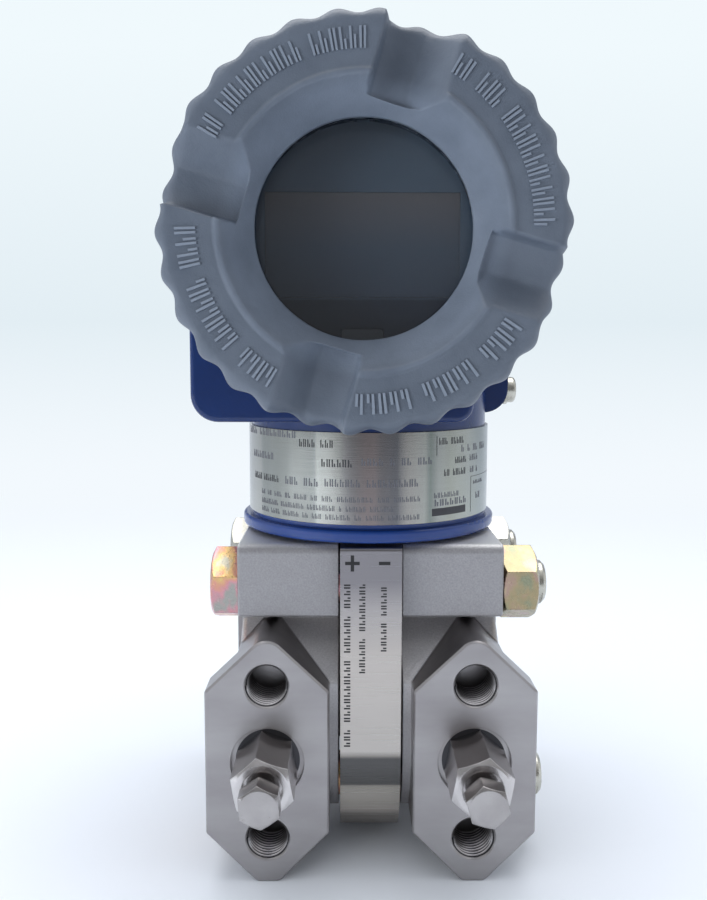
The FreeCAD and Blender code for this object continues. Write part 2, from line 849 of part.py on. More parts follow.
def window_retaining_ring():
    """The threaded ring that presses the glass to its seat, with two key slots."""
    high = window_seat_z() - window_gasket_thickness - glass_thickness
    low = high - retaining_ring_thickness
    outer = glass_pocket_radius() - thread_clearance
    shape = ring(retaining_ring_inner_radius, outer, low, high)
    half = ring_slot_width / 2
    slots = block(-half, half, -glass_radius - 1, glass_radius + 1, low, low + ring_slot_depth)
    return on_front_cover(shape.cut(slots))


def module_place(shape):
    """Move a piece that was built along local Z from the housing's centre wall."""
    return placed(shape, point(housing_x, -wall_half, axis_z), FRONT)


def module_screw_places():
    return [(-module_screw_circle, 0), (module_screw_circle, 0)]


def electronics_module():
    """The potted electronics, flat on the centre wall of the front compartment."""
    shape = rod(module_radius, module_depth - module_flange_thickness, ORIGIN, UP)
    holes = []
    for x, y in module_screw_places():
        hole = module_screw_radius + thread_clearance
        holes.append(rod(hole, module_depth, point(x, y, 0), UP))
    return module_place(shape.cut(holes))


def display_module():
    """The display's moulding: a flange on the electronics and a boss that frames the panel."""
    low = module_depth - module_flange_thickness
    top = module_depth + display_boss_height
    shape = rod(module_radius, module_flange_thickness, point(0, 0, low), UP)
    shape = shape.fuse(rod(display_boss_radius, display_boss_height, point(0, 0, module_depth), UP))
    half_width = lcd_width / 2
    mid = -lcd_drop
    half_height = lcd_height / 2
    pocket = block(-half_width, half_width, mid - half_height, mid + half_height,
                   top - lcd_pocket_depth, top)
    cuts = [pocket]
    for x, y in module_screw_places():
        cuts.append(rod(module_screw_radius + thread_clearance, module_depth, point(x, y, low), UP))
    shaft_half_width = button_width / 2 + button_gap
    shaft_low = -button_drop - button_height / 2 - button_gap
    shaft_high = -button_drop + button_height / 2 + button_gap
    cuts.append(block(-shaft_half_width, shaft_half_width, shaft_low, shaft_high,
                      top - button_length, top))
    return module_place(shape.cut(cuts))


def lcd_panel():
    """The display's glass panel, laid in the pocket of the moulding."""
    low = module_depth + display_boss_height - lcd_pocket_depth
    half_width = lcd_width / 2 - seat_clearance
    half_height = lcd_height / 2 - seat_clearance
    panel = block(-half_width, half_width, -lcd_drop - half_height, -lcd_drop + half_height,
                  low, low + lcd_pocket_depth)
    return module_place(panel)


def setting_button():
    """The grey push button below the panel, which travels into the moulding."""
    top = module_depth + display_boss_height
    low = top - button_length + button_travel
    half_width = button_width / 2
    half_height = button_height / 2
    corners = [
        (-half_width, -half_height, button_corner_radius),
        (half_width, -half_height, button_corner_radius),
        (half_width, half_height, button_corner_radius),
        (-half_width, half_height, button_corner_radius),
    ]
    key = rounded_face(corners, flat_xy).extrude(point(0, 0, top + button_proud - low))
    return module_place(moved(key, 0, -button_drop, low))


def slotted_screw(radius, length, head_radius, head_height):
    """A slotted screw along local Z, with the underside of its head at zero."""
    corners = [
        (0, -length, 0),
        (radius, -length, 0),
        (radius, 0, 0),
        (head_radius, 0, 0),
        (head_radius, head_height, head_height * 0.45),
        (0, head_height, 0),
    ]
    shape = turned(corners)
    half = slot_width / 2
    slot = block(-head_radius, head_radius, -half, half, head_height - slot_depth, head_height)
    return shape.cut(slot)


def module_screws():
    """Two screws that hold the display and the electronics to the centre wall."""
    screws = []
    length = module_depth + module_screw_grip
    screw = slotted_screw(module_screw_radius, length, module_screw_head_radius,
                          module_screw_head_height)
    for x, y in module_screw_places():
        screws.append(module_place(moved(screw, x, y, module_depth)))
    return solids_of(screws)


def terminal_xs():
    first = -(terminal_count - 1) / 2
    return [(first + i) * terminal_pitch for i in range(terminal_count)]


def at_rear(shape):
    """Move a piece that was built along local Z from the rear face of the centre wall."""
    return placed(shape, point(housing_x, wall_half, axis_z), REAR)


def terminal_block():
    """The moulded block on the rear of the centre wall, with ribs between its screws."""
    half_width = terminal_width / 2
    half_height = terminal_height / 2
    corners = [
        (-half_width, -half_height, terminal_edge_radius),
        (half_width, -half_height, terminal_edge_radius),
        (half_width, half_height, terminal_edge_radius),
        (-half_width, half_height, terminal_edge_radius),
    ]
    shape = rounded_face(corners, flat_xy).extrude(point(0, 0, terminal_depth))
    half_rib = terminal_rib_width / 2
    edges = [x - terminal_pitch / 2 for x in terminal_xs()]
    edges.append(edges[-1] + terminal_pitch)
    for x in edges:
        rib = block(x - half_rib, x + half_rib, -half_height, half_height,
                    terminal_depth, terminal_depth + terminal_rib_height)
        shape = shape.fuse(rib)
    hole = terminal_screw_radius + thread_clearance
    depth = terminal_screw_length + seat_clearance
    holes = []
    for x in terminal_xs():
        holes.append(rod(hole, depth, point(x, 0, terminal_depth - depth), UP))
    return at_rear(shape.cut(holes))


def terminal_screws():
    screw = slotted_screw(terminal_screw_radius, terminal_screw_length, terminal_head_radius,
                          terminal_head_height)
    return solids_of([at_rear(moved(screw, x, 0, terminal_depth)) for x in terminal_xs()])


def inner_ground_screw():
    """The ground screw below the terminals."""
    screw = slotted_screw(terminal_screw_radius, module_screw_grip, terminal_head_radius,
                          terminal_head_height)
    return at_rear(moved(screw, 0, inner_ground_drop, 0))


def ground_start():
    return point(housing_x + block_reach, ground_y, block_bottom_z + ground_rise)


def ground_screw():
    """The outside ground screw, on its washer."""
    length = ground_screw_length - ground_washer_thickness
    screw = slotted_screw(ground_screw_radius, length, ground_head_radius, ground_head_height)
    return placed(screw, ground_start() + point(ground_washer_thickness, 0, 0), RIGHT)


def ground_washer():
    inner = ground_screw_radius + seat_clearance
    return placed(ring(inner, ground_washer_radius, 0, ground_washer_thickness), ground_start(), RIGHT)


def conduit_plug():
    """The plug in the left conduit entry, with a hexagon socket."""
    radius = conduit_radius - thread_clearance
    shape = rod(radius, conduit_plug_length, ORIGIN, UP * -1)
    socket = hexagon_bar(conduit_plug_socket, conduit_plug_socket_depth, False, False)
    shape = shape.cut(moved(socket, 0, 0, -conduit_plug_socket_depth))
    start = point(housing_x - block_reach, -conduit_y, block_bottom_z + conduit_rise)
    return placed(shape, start, LEFT)


def save_pair(name, right):
    """Save a piece of the right half, and its mirror image as the left one."""
    save("right_" + name, right)
    save("left_" + name, right.mirror(ORIGIN, RIGHT))


save("sensor_body", sensor_body())
save("neck_seal", neck_seal())
save("pressure_sensor", pressure_sensor())
save_pair("diaphragm", diaphragm())
save_pair("cover_gasket", cover_gasket())
save_pair("process_cover", process_cover())
cover_bolts().exportStep("parts/cover_bolts.step")
cover_nuts().exportStep("parts/cover_nuts.step")
save_pair("vent_plug", vent_plug())
save("left_vent_screw", vent_screw(-1, left_screw_turn))
save("right_vent_screw", vent_screw(1, right_screw_turn))
save("housing", housing())
save("neck_lock_screw", neck_lock_screw())
save("nameplate_band", nameplate_band())
save("front_cover", front_cover())
save("front_cover_seal", cover_seal(FRONT))
save("window_gasket", window_gasket())
save("window_glass", window_glass())
save("window_retaining_ring", window_retaining_ring())
save("rear_cover", rear_cover())
save("rear_cover_seal", cover_seal(REAR))
save("electronics_module", electronics_module())
save("display_module", display_module())
save("lcd_panel", lcd_panel())
save("setting_button", setting_button())
module_screws().exportStep("parts/module_screws.step")
save("terminal_block", terminal_block())
terminal_screws().exportStep("parts/terminal_screws.step")
save("inner_ground_screw", inner_ground_screw())
save("ground_screw", ground_screw())
save("ground_washer", ground_washer())
save("conduit_plug", conduit_plug())
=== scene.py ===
import bpy
import math
from mathutils import Matrix, Vector


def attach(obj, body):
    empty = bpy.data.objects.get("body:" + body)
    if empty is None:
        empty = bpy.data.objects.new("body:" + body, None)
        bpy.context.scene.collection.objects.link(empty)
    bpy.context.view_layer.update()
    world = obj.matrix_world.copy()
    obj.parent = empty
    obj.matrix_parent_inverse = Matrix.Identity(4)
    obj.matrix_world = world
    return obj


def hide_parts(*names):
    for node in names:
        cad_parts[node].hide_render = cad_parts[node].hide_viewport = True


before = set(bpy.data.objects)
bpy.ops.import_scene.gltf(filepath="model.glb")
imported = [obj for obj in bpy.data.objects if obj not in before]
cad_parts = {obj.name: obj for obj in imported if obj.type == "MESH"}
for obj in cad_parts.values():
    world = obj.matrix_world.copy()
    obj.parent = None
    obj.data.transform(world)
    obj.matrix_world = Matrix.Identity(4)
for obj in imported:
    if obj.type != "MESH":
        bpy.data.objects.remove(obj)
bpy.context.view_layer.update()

# Studio floor: one sheet of matt pale paper that curves up behind the object.
# It keeps the soft shadow under the flange pads and lights the steel from below.

MM = 0.001
FLOOR_HALF_WIDTH = 2200
FLOOR_FRONT = -900
FLOOR_TOP = 2600
SWEEP_START = 700
SWEEP_RADIUS = 500


def hex_colour(text):
    """An sRGB hex value as linear red, green, blue and alpha."""
    def linear(value):
        return value / 12.92 if value <= 0.04045 else ((value + 0.055) / 1.055) ** 2.4
    return tuple(linear(int(text[i:i + 2], 16) / 255) for i in (1, 3, 5)) + (1.0,)


def add_node(tree, kind, links=None, **settings):
    """A node with its settings, and its inputs set or linked. A node as a link stands for its first output."""
    node = tree.nodes.new(kind)
    for name, value in settings.items():
        setattr(node, name, value)
    for name, value in (links or {}).items():
        if isinstance(value, bpy.types.Node):
            value = value.outputs[0]
        if isinstance(value, bpy.types.NodeSocket):
            tree.links.new(value, node.inputs[name])
        else:
            node.inputs[name].default_value = value
    return node


def new_material(name):
    """An empty material, its tree and its output node."""
    material = bpy.data.materials.new(name)
    material.use_nodes = True
    material.node_tree.nodes.clear()
    output = add_node(material.node_tree, "ShaderNodeOutputMaterial")
    return material, material.node_tree, output


def in_millimetres(tree):
    """The object's own coordinates in millimetres."""
    place = add_node(tree, "ShaderNodeTexCoord").outputs["Object"]
    return add_node(tree, "ShaderNodeVectorMath", {0: place, "Scale": 1 / MM}, operation="SCALE")


def toned(tree, value, stops):
    """A colour that follows a value from 0 to 1, through (place, hex colour) stops."""
    node = add_node(tree, "ShaderNodeValToRGB", {"Fac": value})
    elements = node.color_ramp.elements
    while len(elements) < len(stops):
        elements.new(0.5)
    for element, (place, colour) in zip(elements, stops):
        element.position = place
        element.color = hex_colour(colour)
    return node


def by_height(tree, stops):
    """A colour that changes with height, through (millimetres, hex colour) stops."""
    low, high = stops[0][0], stops[-1][0]
    height = add_node(tree, "ShaderNodeSeparateXYZ", {0: in_millimetres(tree)}).outputs["Z"]
    share = add_node(tree, "ShaderNodeMapRange", {"Value": height, "From Min": low, "From Max": high})
    return toned(tree, share, [((z - low) / (high - low), colour) for z, colour in stops])


def new_piece(name, points, faces, material, smooth=True):
    """A mesh object in the object's frame, from points in millimetres."""
    mesh = bpy.data.meshes.new(name)
    mesh.from_pydata([(x * MM, y * MM, z * MM) for x, y, z in points], [], faces)
    mesh.materials.append(material)
    if smooth:
        mesh.shade_smooth()
    mesh.update()
    piece = bpy.data.objects.new(name, mesh)
    bpy.context.scene.collection.objects.link(piece)
    return piece


# Matt paper: a plain diffuse sheet near the object, where it keeps the shadow.
# Far behind it the camera sees an even pale glow, so that no horizon shows.
paper, tree, output = new_material("matt_studio_paper")
matt = add_node(tree, "ShaderNodeBsdfDiffuse", {"Color": hex_colour("#e6ebf2")})
tones = by_height(tree, [(0, "#f3f9fe"), (180, "#e3eef4"), (600, "#f0f9fd")])
glow = add_node(tree, "ShaderNodeEmission", {"Color": tones, "Strength": 1.0})
back = add_node(tree, "ShaderNodeSeparateXYZ", {0: in_millimetres(tree)}).outputs["Y"]
far = add_node(tree, "ShaderNodeMapRange", {"Value": back, "From Min": 100, "From Max": 600},
               interpolation_type="SMOOTHSTEP")
camera_ray = add_node(tree, "ShaderNodeLightPath").outputs["Is Camera Ray"]
seen = add_node(tree, "ShaderNodeMath", {0: far, 1: camera_ray}, operation="MULTIPLY")
sheet = add_node(tree, "ShaderNodeMixShader", {0: seen, 1: matt, 2: glow})
tree.links.new(sheet.outputs[0], output.inputs["Surface"])

sweep = [(FLOOR_FRONT, 0), (SWEEP_START, 0)]
for degrees in range(10, 91, 10):
    bend = math.radians(degrees)
    sweep.append((SWEEP_START + SWEEP_RADIUS * math.sin(bend), SWEEP_RADIUS * (1 - math.cos(bend))))
sweep.append((SWEEP_START + SWEEP_RADIUS, FLOOR_TOP))
floor_points = []
for y, z in sweep:
    floor_points += [(-FLOOR_HALF_WIDTH, y, z), (FLOOR_HALF_WIDTH, y, z)]
floor_faces = [(2 * i, 2 * i + 1, 2 * i + 3, 2 * i + 2) for i in range(len(sweep) - 1)]
floor = new_piece("studio_floor", floor_points, floor_faces, paper)


# Sensor body: a plate of stainless steel with a round neck, milled and then brushed across its front strip.
# The strip carries etched marks. The neck, the diaphragms and the sensor's header are turned.

def grain(tree, size_mm, detail=3.0, stretch=(1, 1, 1)):
    """A drift from 0 to 1 in grains of a real size. A small stretch along an axis draws them out there."""
    place = add_node(tree, "ShaderNodeTexCoord").outputs["Object"]
    drawn = add_node(tree, "ShaderNodeMapping", {"Vector": place, "Scale": stretch})
    return add_node(tree, "ShaderNodeTexNoise",
                    {"Vector": drawn, "Scale": 1 / (size_mm * MM), "Detail": detail, "Roughness": 0.55})


def uneven(tree, low, high, size_mm, detail=3.0, stretch=(1, 1, 1)):
    """A value that drifts between two limits in grains of a real size."""
    return add_node(tree, "ShaderNodeMapRange",
                    {"Value": grain(tree, size_mm, detail, stretch), "To Min": low, "To Max": high})


def mottled(tree, colour, low, high, size_mm, detail=3.0, stretch=(1, 1, 1)):
    """A colour whose brightness drifts between two factors in grains of a real size."""
    factor = uneven(tree, low, high, size_mm, detail, stretch)
    return add_node(tree, "ShaderNodeVectorMath", {0: colour, "Scale": factor}, operation="SCALE")


def relief(tree, edges_mm, pattern=None, depth_mm=0.0):
    """Normals with every edge rounded a little, as deburring does, and a pattern sunk to a depth."""
    normal = add_node(tree, "ShaderNodeBevel", {"Radius": edges_mm * MM}, samples=4)
    if pattern is None:
        return normal
    return add_node(tree, "ShaderNodeBump",
                    {"Height": pattern, "Strength": 1.0, "Distance": depth_mm * MM, "Normal": normal})


def shade(name, colour, roughness, normal, metallic=1.0):
    """A material from its colour, roughness, normal and share of metal, as values or functions of the tree."""
    material, tree, output = new_material(name)
    given = {"Base Color": hex_colour(colour) if isinstance(colour, str) else colour, "Roughness": roughness,
             "Normal": normal, "Metallic": metallic}
    links = {label: value(tree) if callable(value) else value for label, value in given.items()}
    shader = add_node(tree, "ShaderNodeBsdfPrincipled", links)
    tree.links.new(shader.outputs[0], output.inputs["Surface"])
    return material


def dress(material, *nodes):
    """Give CAD nodes their material."""
    for node in nodes:
        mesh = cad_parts[node].data
        mesh.materials.clear()
        mesh.materials.append(material)


# Brushed stainless steel: fine lines run across. Its colour follows height: painted shade darkens the slope
# below the strip, and a painted highlight lies on the round under it. The lines are drawn coarser than real
# ones, to show.
# Tones by height in mm: the dark stops from 23.3 to 31 are painted shade, the pale ones from 14.3 to 22 a
# painted highlight.
plate_painted_shade_and_highlight = [(0, "#b5aea6"), (11.5, "#b5aea6"), (14.3, "#e6ddd3"), (16.9, "#d2cbc0"), (19.6, "#c7c0b7"),
               (21.9, "#b5afa6"), (22.8, "#aca69d"), (23.3, "#656463"), (31.0, "#5e5d5d"), (31.8, "#9a958f"),
               (33.0, "#c0bab4"), (60, "#bfb8b2"), (72, "#aaa5a4"), (79, "#8d8a8d"), (88, "#918e91"),
               (96, "#a4a1a2")]
brushed_steel = shade(
    "stainless_steel_brushed_across",
    lambda t: mottled(t, by_height(t, plate_painted_shade_and_highlight), 0.88, 1.08, 16.67, 4, (0.15, 1, 1)),
    lambda t: uneven(t, 0.22, 0.36, 0.385, 2, (0.006, 1, 1)),
    lambda t: relief(t, 0.25, grain(t, 0.278, 1, (0.006, 1, 1)), 0.005))
dress(brushed_steel, "sensor_body")

# Turned stainless steel: rings of fine tool marks, a little brighter.
turned_steel = shade(
    "stainless_steel_turned",
    lambda t: toned(t, grain(t, 4.55, 4, (1, 0.3, 1)), [(0.3, "#8f8c8d"), (0.7, "#aaa7a8")]),
    lambda t: uneven(t, 0.18, 0.34, 0.667, 3, (0.2, 1, 0.2)),
    lambda t: relief(t, 0.25, grain(t, 0.333, 2, (0.1, 1, 0.1)), 0.01))
dress(turned_steel, "left_diaphragm", "right_diaphragm", "pressure_sensor", "window_retaining_ring")


# Etched marks on the strip: short dark strokes, flat in the steel, in three rows that run up it.
# A plus and a minus above them tell the two pressure sides.

STRIP_FACE = -37.0
LONGEST_STEP = 1.2


def marks_mesh(name, marks, to_surface, material, body, sunk=-0.02, proud=0.03):
    """Marks that stand a little proud of a surface, from (a0, a1, b0, b1) rectangles laid on it."""
    points = []
    faces = []
    for a0, a1, b0, b1 in marks:
        steps = max(1, int((a1 - a0) / LONGEST_STEP))
        start = len(points)
        for i in range(steps + 1):
            a = a0 + (a1 - a0) * i / steps
            points += [to_surface(a, b0, sunk), to_surface(a, b0, proud), to_surface(a, b1, proud),
                       to_surface(a, b1, sunk)]
        for i in range(steps):
            for k in range(4):
                low = start + 4 * i
                faces.append((low + k, low + 4 + k, low + 4 + (k + 1) % 4, low + (k + 1) % 4))
        last = start + 4 * steps
        faces += [(start, start + 1, start + 2, start + 3), (last + 3, last + 2, last + 1, last)]
    piece = new_piece(name, points, faces, material, smooth=False)
    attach(piece, body)
    return piece


def strokes(a0, a1, b0, b1, groups, along_b=False):
    """A row of short strokes that fills a rectangle, two to a cell, in groups of cells with gaps between."""
    cells = sum(groups) + len(groups) - 1
    second_reach = (0.62, 1.0, 0.45)
    row_start, row_end = (b0, b1) if along_b else (a0, a1)
    pitch = (row_end - row_start) / cells
    width = 0.24 * pitch
    result = []
    cell = 0
    for group in groups:
        for i in range(group):
            for offset, reach in ((0.08, 1.0), (0.5, second_reach[cell % 3])):
                low = row_start + (cell + offset) * pitch
                if along_b:
                    result.append((a1 - (a1 - a0) * reach, a1, low, low + width))
                else:
                    result.append((low, low + width, b0, b0 + (b1 - b0) * reach))
            cell += 1
        cell += 1
    return result


# Etch: dark grey oxide, matt, so that the marks stay dark at every angle.
etch = shade("dark_etch_marks", "#1d1d1f", 0.5, lambda t: relief(t, 0.05), metallic=0.0)
strip_marks = strokes(-7.1, -5.4, 34.2, 78.9, (3, 10, 6, 4), along_b=True)
strip_marks += strokes(-3.1, -1.5, 54.4, 78.9, (6, 8), along_b=True)
strip_marks += strokes(2.6, 4.1, 60.3, 78.1, (5, 5), along_b=True)
plus_mark = [(-6.8, -3.0, 83.6, 84.5), (-5.35, -4.45, 81.9, 83.6), (-5.35, -4.45, 84.5, 86.2)]
minus_mark = [(2.0, 5.0, 83.6, 84.5)]
marks_mesh("strip_marks", strip_marks + plus_mark + minus_mark, lambda a, b, lift: (a, STRIP_FACE - lift, b),
           etch, "sensor")


# Process covers: investment castings in stainless steel, blasted with beads.
# Only the hexagonal flange pads are machined, so the two finishes are split by place.

PORT_X = 27.0
PORT_Z = 32.5
FLANGE_HOLE_RISE = 20.65
PORT_SHADE_RADIUS = 8.4
PAD_BACK = 20.6
PAD_EDGES = [(1.0, 0.0, 16.25), (0.689, 0.725, 25.3), (0.712, -0.702, 25.3)]


def pad_mask(tree):
    """1 on the flange pads, 0 on the cast flange and head block. Each edge is a direction and a distance."""
    folded = add_node(tree, "ShaderNodeVectorMath", {0: in_millimetres(tree)}, operation="ABSOLUTE")
    from_port = add_node(tree, "ShaderNodeVectorMath", {0: folded, 1: (PORT_X, 0, PORT_Z)},
                         operation="SUBTRACT")
    reach = 0.0
    for across, up, distance in PAD_EDGES:
        for side in (-1, 1):
            edge = add_node(tree, "ShaderNodeVectorMath",
                            {0: from_port, 1: (side * across / distance, 0, up / distance)},
                            operation="DOT_PRODUCT")
            reach = add_node(tree, "ShaderNodeMath", {0: edge.outputs["Value"], 1: reach},
                             operation="MAXIMUM")
    inside = add_node(tree, "ShaderNodeMath", {0: reach, 1: 1.0}, operation="LESS_THAN")
    depth = add_node(tree, "ShaderNodeSeparateXYZ", {0: from_port}).outputs["Y"]
    raised = add_node(tree, "ShaderNodeMath", {0: depth, 1: PAD_BACK}, operation="GREATER_THAN")
    return add_node(tree, "ShaderNodeMath", {0: inside, 1: raised}, operation="MULTIPLY")


def off_axis(tree, place, x, z):
    """The distance in mm of a place from an axis that runs front to back."""
    from_axis = add_node(tree, "ShaderNodeVectorMath", {0: place, 1: (x, 0, z)}, operation="SUBTRACT")
    flat = add_node(tree, "ShaderNodeVectorMath", {0: from_axis, 1: (1, 0, 1)}, operation="MULTIPLY")
    return add_node(tree, "ShaderNodeVectorMath", {0: flat}, operation="LENGTH").outputs["Value"]


def from_hole(tree, rise):
    """The distance in mm from the nearest hole's axis, for holes a rise above and below the ports."""
    from_port = add_node(tree, "ShaderNodeVectorMath", {0: in_millimetres(tree), 1: (0, 0, PORT_Z)},
                         operation="SUBTRACT")
    folded = add_node(tree, "ShaderNodeVectorMath", {0: from_port}, operation="ABSOLUTE")
    return off_axis(tree, folded, PORT_X, rise)


def port_mouth_shade_mask(tree):
    """1 round the vent plugs, where the ports' mouths are painted dark as shade."""
    near = add_node(tree, "ShaderNodeMath", {0: from_hole(tree, 0.0), 1: PORT_SHADE_RADIUS},
                    operation="LESS_THAN")
    depth = add_node(tree, "ShaderNodeSeparateXYZ", {0: in_millimetres(tree)}).outputs["Y"]
    in_front = add_node(tree, "ShaderNodeMath", {0: depth, 1: -20.0}, operation="LESS_THAN")
    return add_node(tree, "ShaderNodeMath", {0: near, 1: in_front}, operation="MULTIPLY")


def cover_colour(tree):
    """Speckled casting with painted light on the slopes and the top that lean back, milled pads and painted
    shade in the ports' mouths.
    """
    # The pale stops from 52 to 67 mm and from 87.5 mm up are painted light.
    painted_light_heights = [(0, "#9f9d9f"), (42, "#a3a1a3"), (52, "#c6c4c5"), (67, "#c6c4c5"), (68.6, "#a1a0a3"),
               (86.9, "#a1a0a3"), (87.5, "#e6e5e4"), (95, "#e6e5e4")]
    cast = mottled(tree, by_height(tree, painted_light_heights), 0.75, 1.25, 0.455, 2)
    milled = toned(tree, grain(tree, 11.1, 4, (0.3, 1, 1)), [(0.3, "#9a9697"), (0.7, "#aba8a8")])
    # The dark grey round the vent plugs is painted shade in the ports' mouths.
    pads = add_node(tree, "ShaderNodeMix", {0: port_mouth_shade_mask(tree), 6: milled, 7: hex_colour("#4a4a4d")},
                    data_type="RGBA")
    return add_node(tree, "ShaderNodeMix", {0: pad_mask(tree), 6: cast, 7: pads.outputs[2]},
                    data_type="RGBA").outputs[2]


def cover_roughness(tree):
    """Dull where it was blasted, smoother along the lines of the mill."""
    return add_node(tree, "ShaderNodeMix", {0: pad_mask(tree), 2: uneven(tree, 0.42, 0.56, 1.25),
                                            3: uneven(tree, 0.27, 0.4, 2.0, 4, (0.1, 1, 1))})


def cover_normal(tree):
    """Fine dimples on the casting, and faint lines across the pads."""
    cast = relief(tree, 0.4, grain(tree, 0.417, 2), 0.06)
    milled = relief(tree, 0.3, grain(tree, 0.556, 3, (0.05, 1, 1)), 0.008)
    return add_node(tree, "ShaderNodeMix", {0: pad_mask(tree), 4: cast, 5: milled},
                    data_type="VECTOR").outputs[1]


# Cast and milled stainless steel: a dull silvery grain, with smooth satin pads.
cast_and_milled = shade(
    "stainless_steel_cast_blasted_and_milled", cover_colour, cover_roughness, cover_normal,
    lambda t: add_node(t, "ShaderNodeMapRange", {"Value": pad_mask(t), "To Min": 0.65, "To Max": 1.0}))
dress(cast_and_milled, "left_process_cover", "right_process_cover")

# Filled fluoropolymer: off-white and dull.
gasket_white = shade("white_gasket_sheet", "#c9c6bd", 0.6, lambda t: relief(t, 0.1), metallic=0.0)
dress(gasket_white, "left_cover_gasket", "right_cover_gasket")


# Threads: one helical ridge in every tapped hole and on every bolt end.
# The same steel as the part that is cut.

def thread_group():
    """Geometry Nodes: a helical ridge of diamond section, set once on every vertex of the piece."""
    group = bpy.data.node_groups.new("helical_thread", "GeometryNodeTree")
    sockets = {}
    for label, kind, start in (("Geometry", "NodeSocketGeometry", None), ("Radius", "NodeSocketFloat", 0.005),
                               ("Pitch", "NodeSocketFloat", 0.001), ("Turns", "NodeSocketFloat", 8.0),
                               ("Ridge", "NodeSocketFloat", 0.0005), ("Lay", "NodeSocketVector", None),
                               ("Steel", "NodeSocketMaterial", None)):
        socket = group.interface.new_socket(label, in_out="INPUT", socket_type=kind)
        if start is not None:
            socket.default_value = start
        sockets[label] = socket.identifier
    group.interface.new_socket("Geometry", in_out="OUTPUT", socket_type="NodeSocketGeometry")
    given = add_node(group, "NodeGroupInput").outputs
    height = add_node(group, "ShaderNodeMath", {0: given["Pitch"], 1: given["Turns"]}, operation="MULTIPLY")
    helix = add_node(group, "GeometryNodeCurveSpiral",
                     {"Resolution": 40, "Rotations": given["Turns"], "Start Radius": given["Radius"],
                      "End Radius": given["Radius"], "Height": height})
    upright = add_node(group, "GeometryNodeSetCurveNormal", {"Curve": helix}, mode="Z_UP")
    section = add_node(group, "GeometryNodeCurvePrimitiveCircle", {"Resolution": 4, "Radius": given["Ridge"]})
    ridge = add_node(group, "GeometryNodeCurveToMesh",
                     {"Curve": upright, "Profile Curve": section, "Fill Caps": True})
    turned = add_node(group, "GeometryNodeTransform", {"Geometry": ridge, "Rotation": given["Lay"]})
    copies = add_node(group, "GeometryNodeInstanceOnPoints", {"Points": given["Geometry"], "Instance": turned})
    solid = add_node(group, "GeometryNodeRealizeInstances", {"Geometry": copies})
    painted = add_node(group, "GeometryNodeSetMaterial", {"Geometry": solid, "Material": given["Steel"]})
    add_node(group, "NodeGroupOutput", {"Geometry": painted})
    return group, sockets


thread_nodes, thread_sockets = thread_group()


def threads(name, places, lay, sizes, material, body):
    """A threaded ridge at each place, laid from local Z by the Euler angles in degrees.

    The sizes are the radius of the hole or bolt, the pitch, the number of turns and half the ridge's height.
    """
    radius, pitch, turns, ridge = sizes
    seed = new_piece(name + "_seed", places, [], material, smooth=False)
    grown = seed.modifiers.new("threads", "NODES")
    grown.node_group = thread_nodes
    grown[thread_sockets["Radius"]] = radius * MM
    grown[thread_sockets["Pitch"]] = pitch * MM
    grown[thread_sockets["Turns"]] = float(turns)
    grown[thread_sockets["Ridge"]] = ridge * MM
    grown[thread_sockets["Lay"]] = [math.radians(a) for a in lay]
    grown[thread_sockets["Steel"]] = material
    bpy.context.view_layer.update()
    mesh = bpy.data.meshes.new_from_object(seed.evaluated_get(bpy.context.evaluated_depsgraph_get()))
    bpy.data.objects.remove(seed)
    mesh.name = name
    mesh.shade_flat()
    piece = bpy.data.objects.new(name, mesh)
    bpy.context.scene.collection.objects.link(piece)
    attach(piece, body)
    return piece


# Cut thread: steel crests with a painted highlight over roots in painted shade.
def thread_shade(name, rise, wall):
    """The steel of a tapped hole, told apart by the distance from the hole's axis."""
    def crest_highlight_to_root_shade(tree):
        cut = add_node(tree, "ShaderNodeMapRange",
                       {"Value": from_hole(tree, rise), "From Min": wall - 0.5, "From Max": wall})
        # The pale stops on the crests are a painted highlight, the dark ones at the roots painted shade.
        return toned(tree, cut, [(0.1, "#cfcccc"), (0.4, "#8f8c8e"), (0.75, "#2b2b2d")])
    return shade(name, crest_highlight_to_root_shade, 0.28, lambda t: relief(t, 0.03))


thread_steel = thread_shade("stainless_steel_cut_thread", FLANGE_HOLE_RISE, 5.5)
port_thread_steel = thread_shade("stainless_steel_cut_pipe_thread", 0.0, 6.8)
hole_rows = [(x, PORT_Z + rise) for rise in (-FLANGE_HOLE_RISE, FLANGE_HOLE_RISE) for x in (-PORT_X, PORT_X)]
threads("front_flange_threads", [(x, -30.2, z) for x, z in hole_rows], (90, 0, 0), (5.5, 1.27, 9.5, 0.5),
        thread_steel, "sensor")
threads("rear_flange_threads", [(x, 30.2, z) for x, z in hole_rows], (-90, 0, 0), (5.55, 1.27, 9.5, 0.5),
        thread_steel, "sensor")
threads("process_port_threads", [(x, 27.6, PORT_Z) for x in (-PORT_X, PORT_X)], (-90, 0, 0),
        (6.8, 1.41, 9, 0.45), port_thread_steel, "sensor")


# Cover bolts and nuts: carbon steel, zinc plated and passivated in yellow.
# The passivation shows pink, orange and yellow patches, stronger on the heads than on the nuts.

BOLT_CUT_END = 45.2


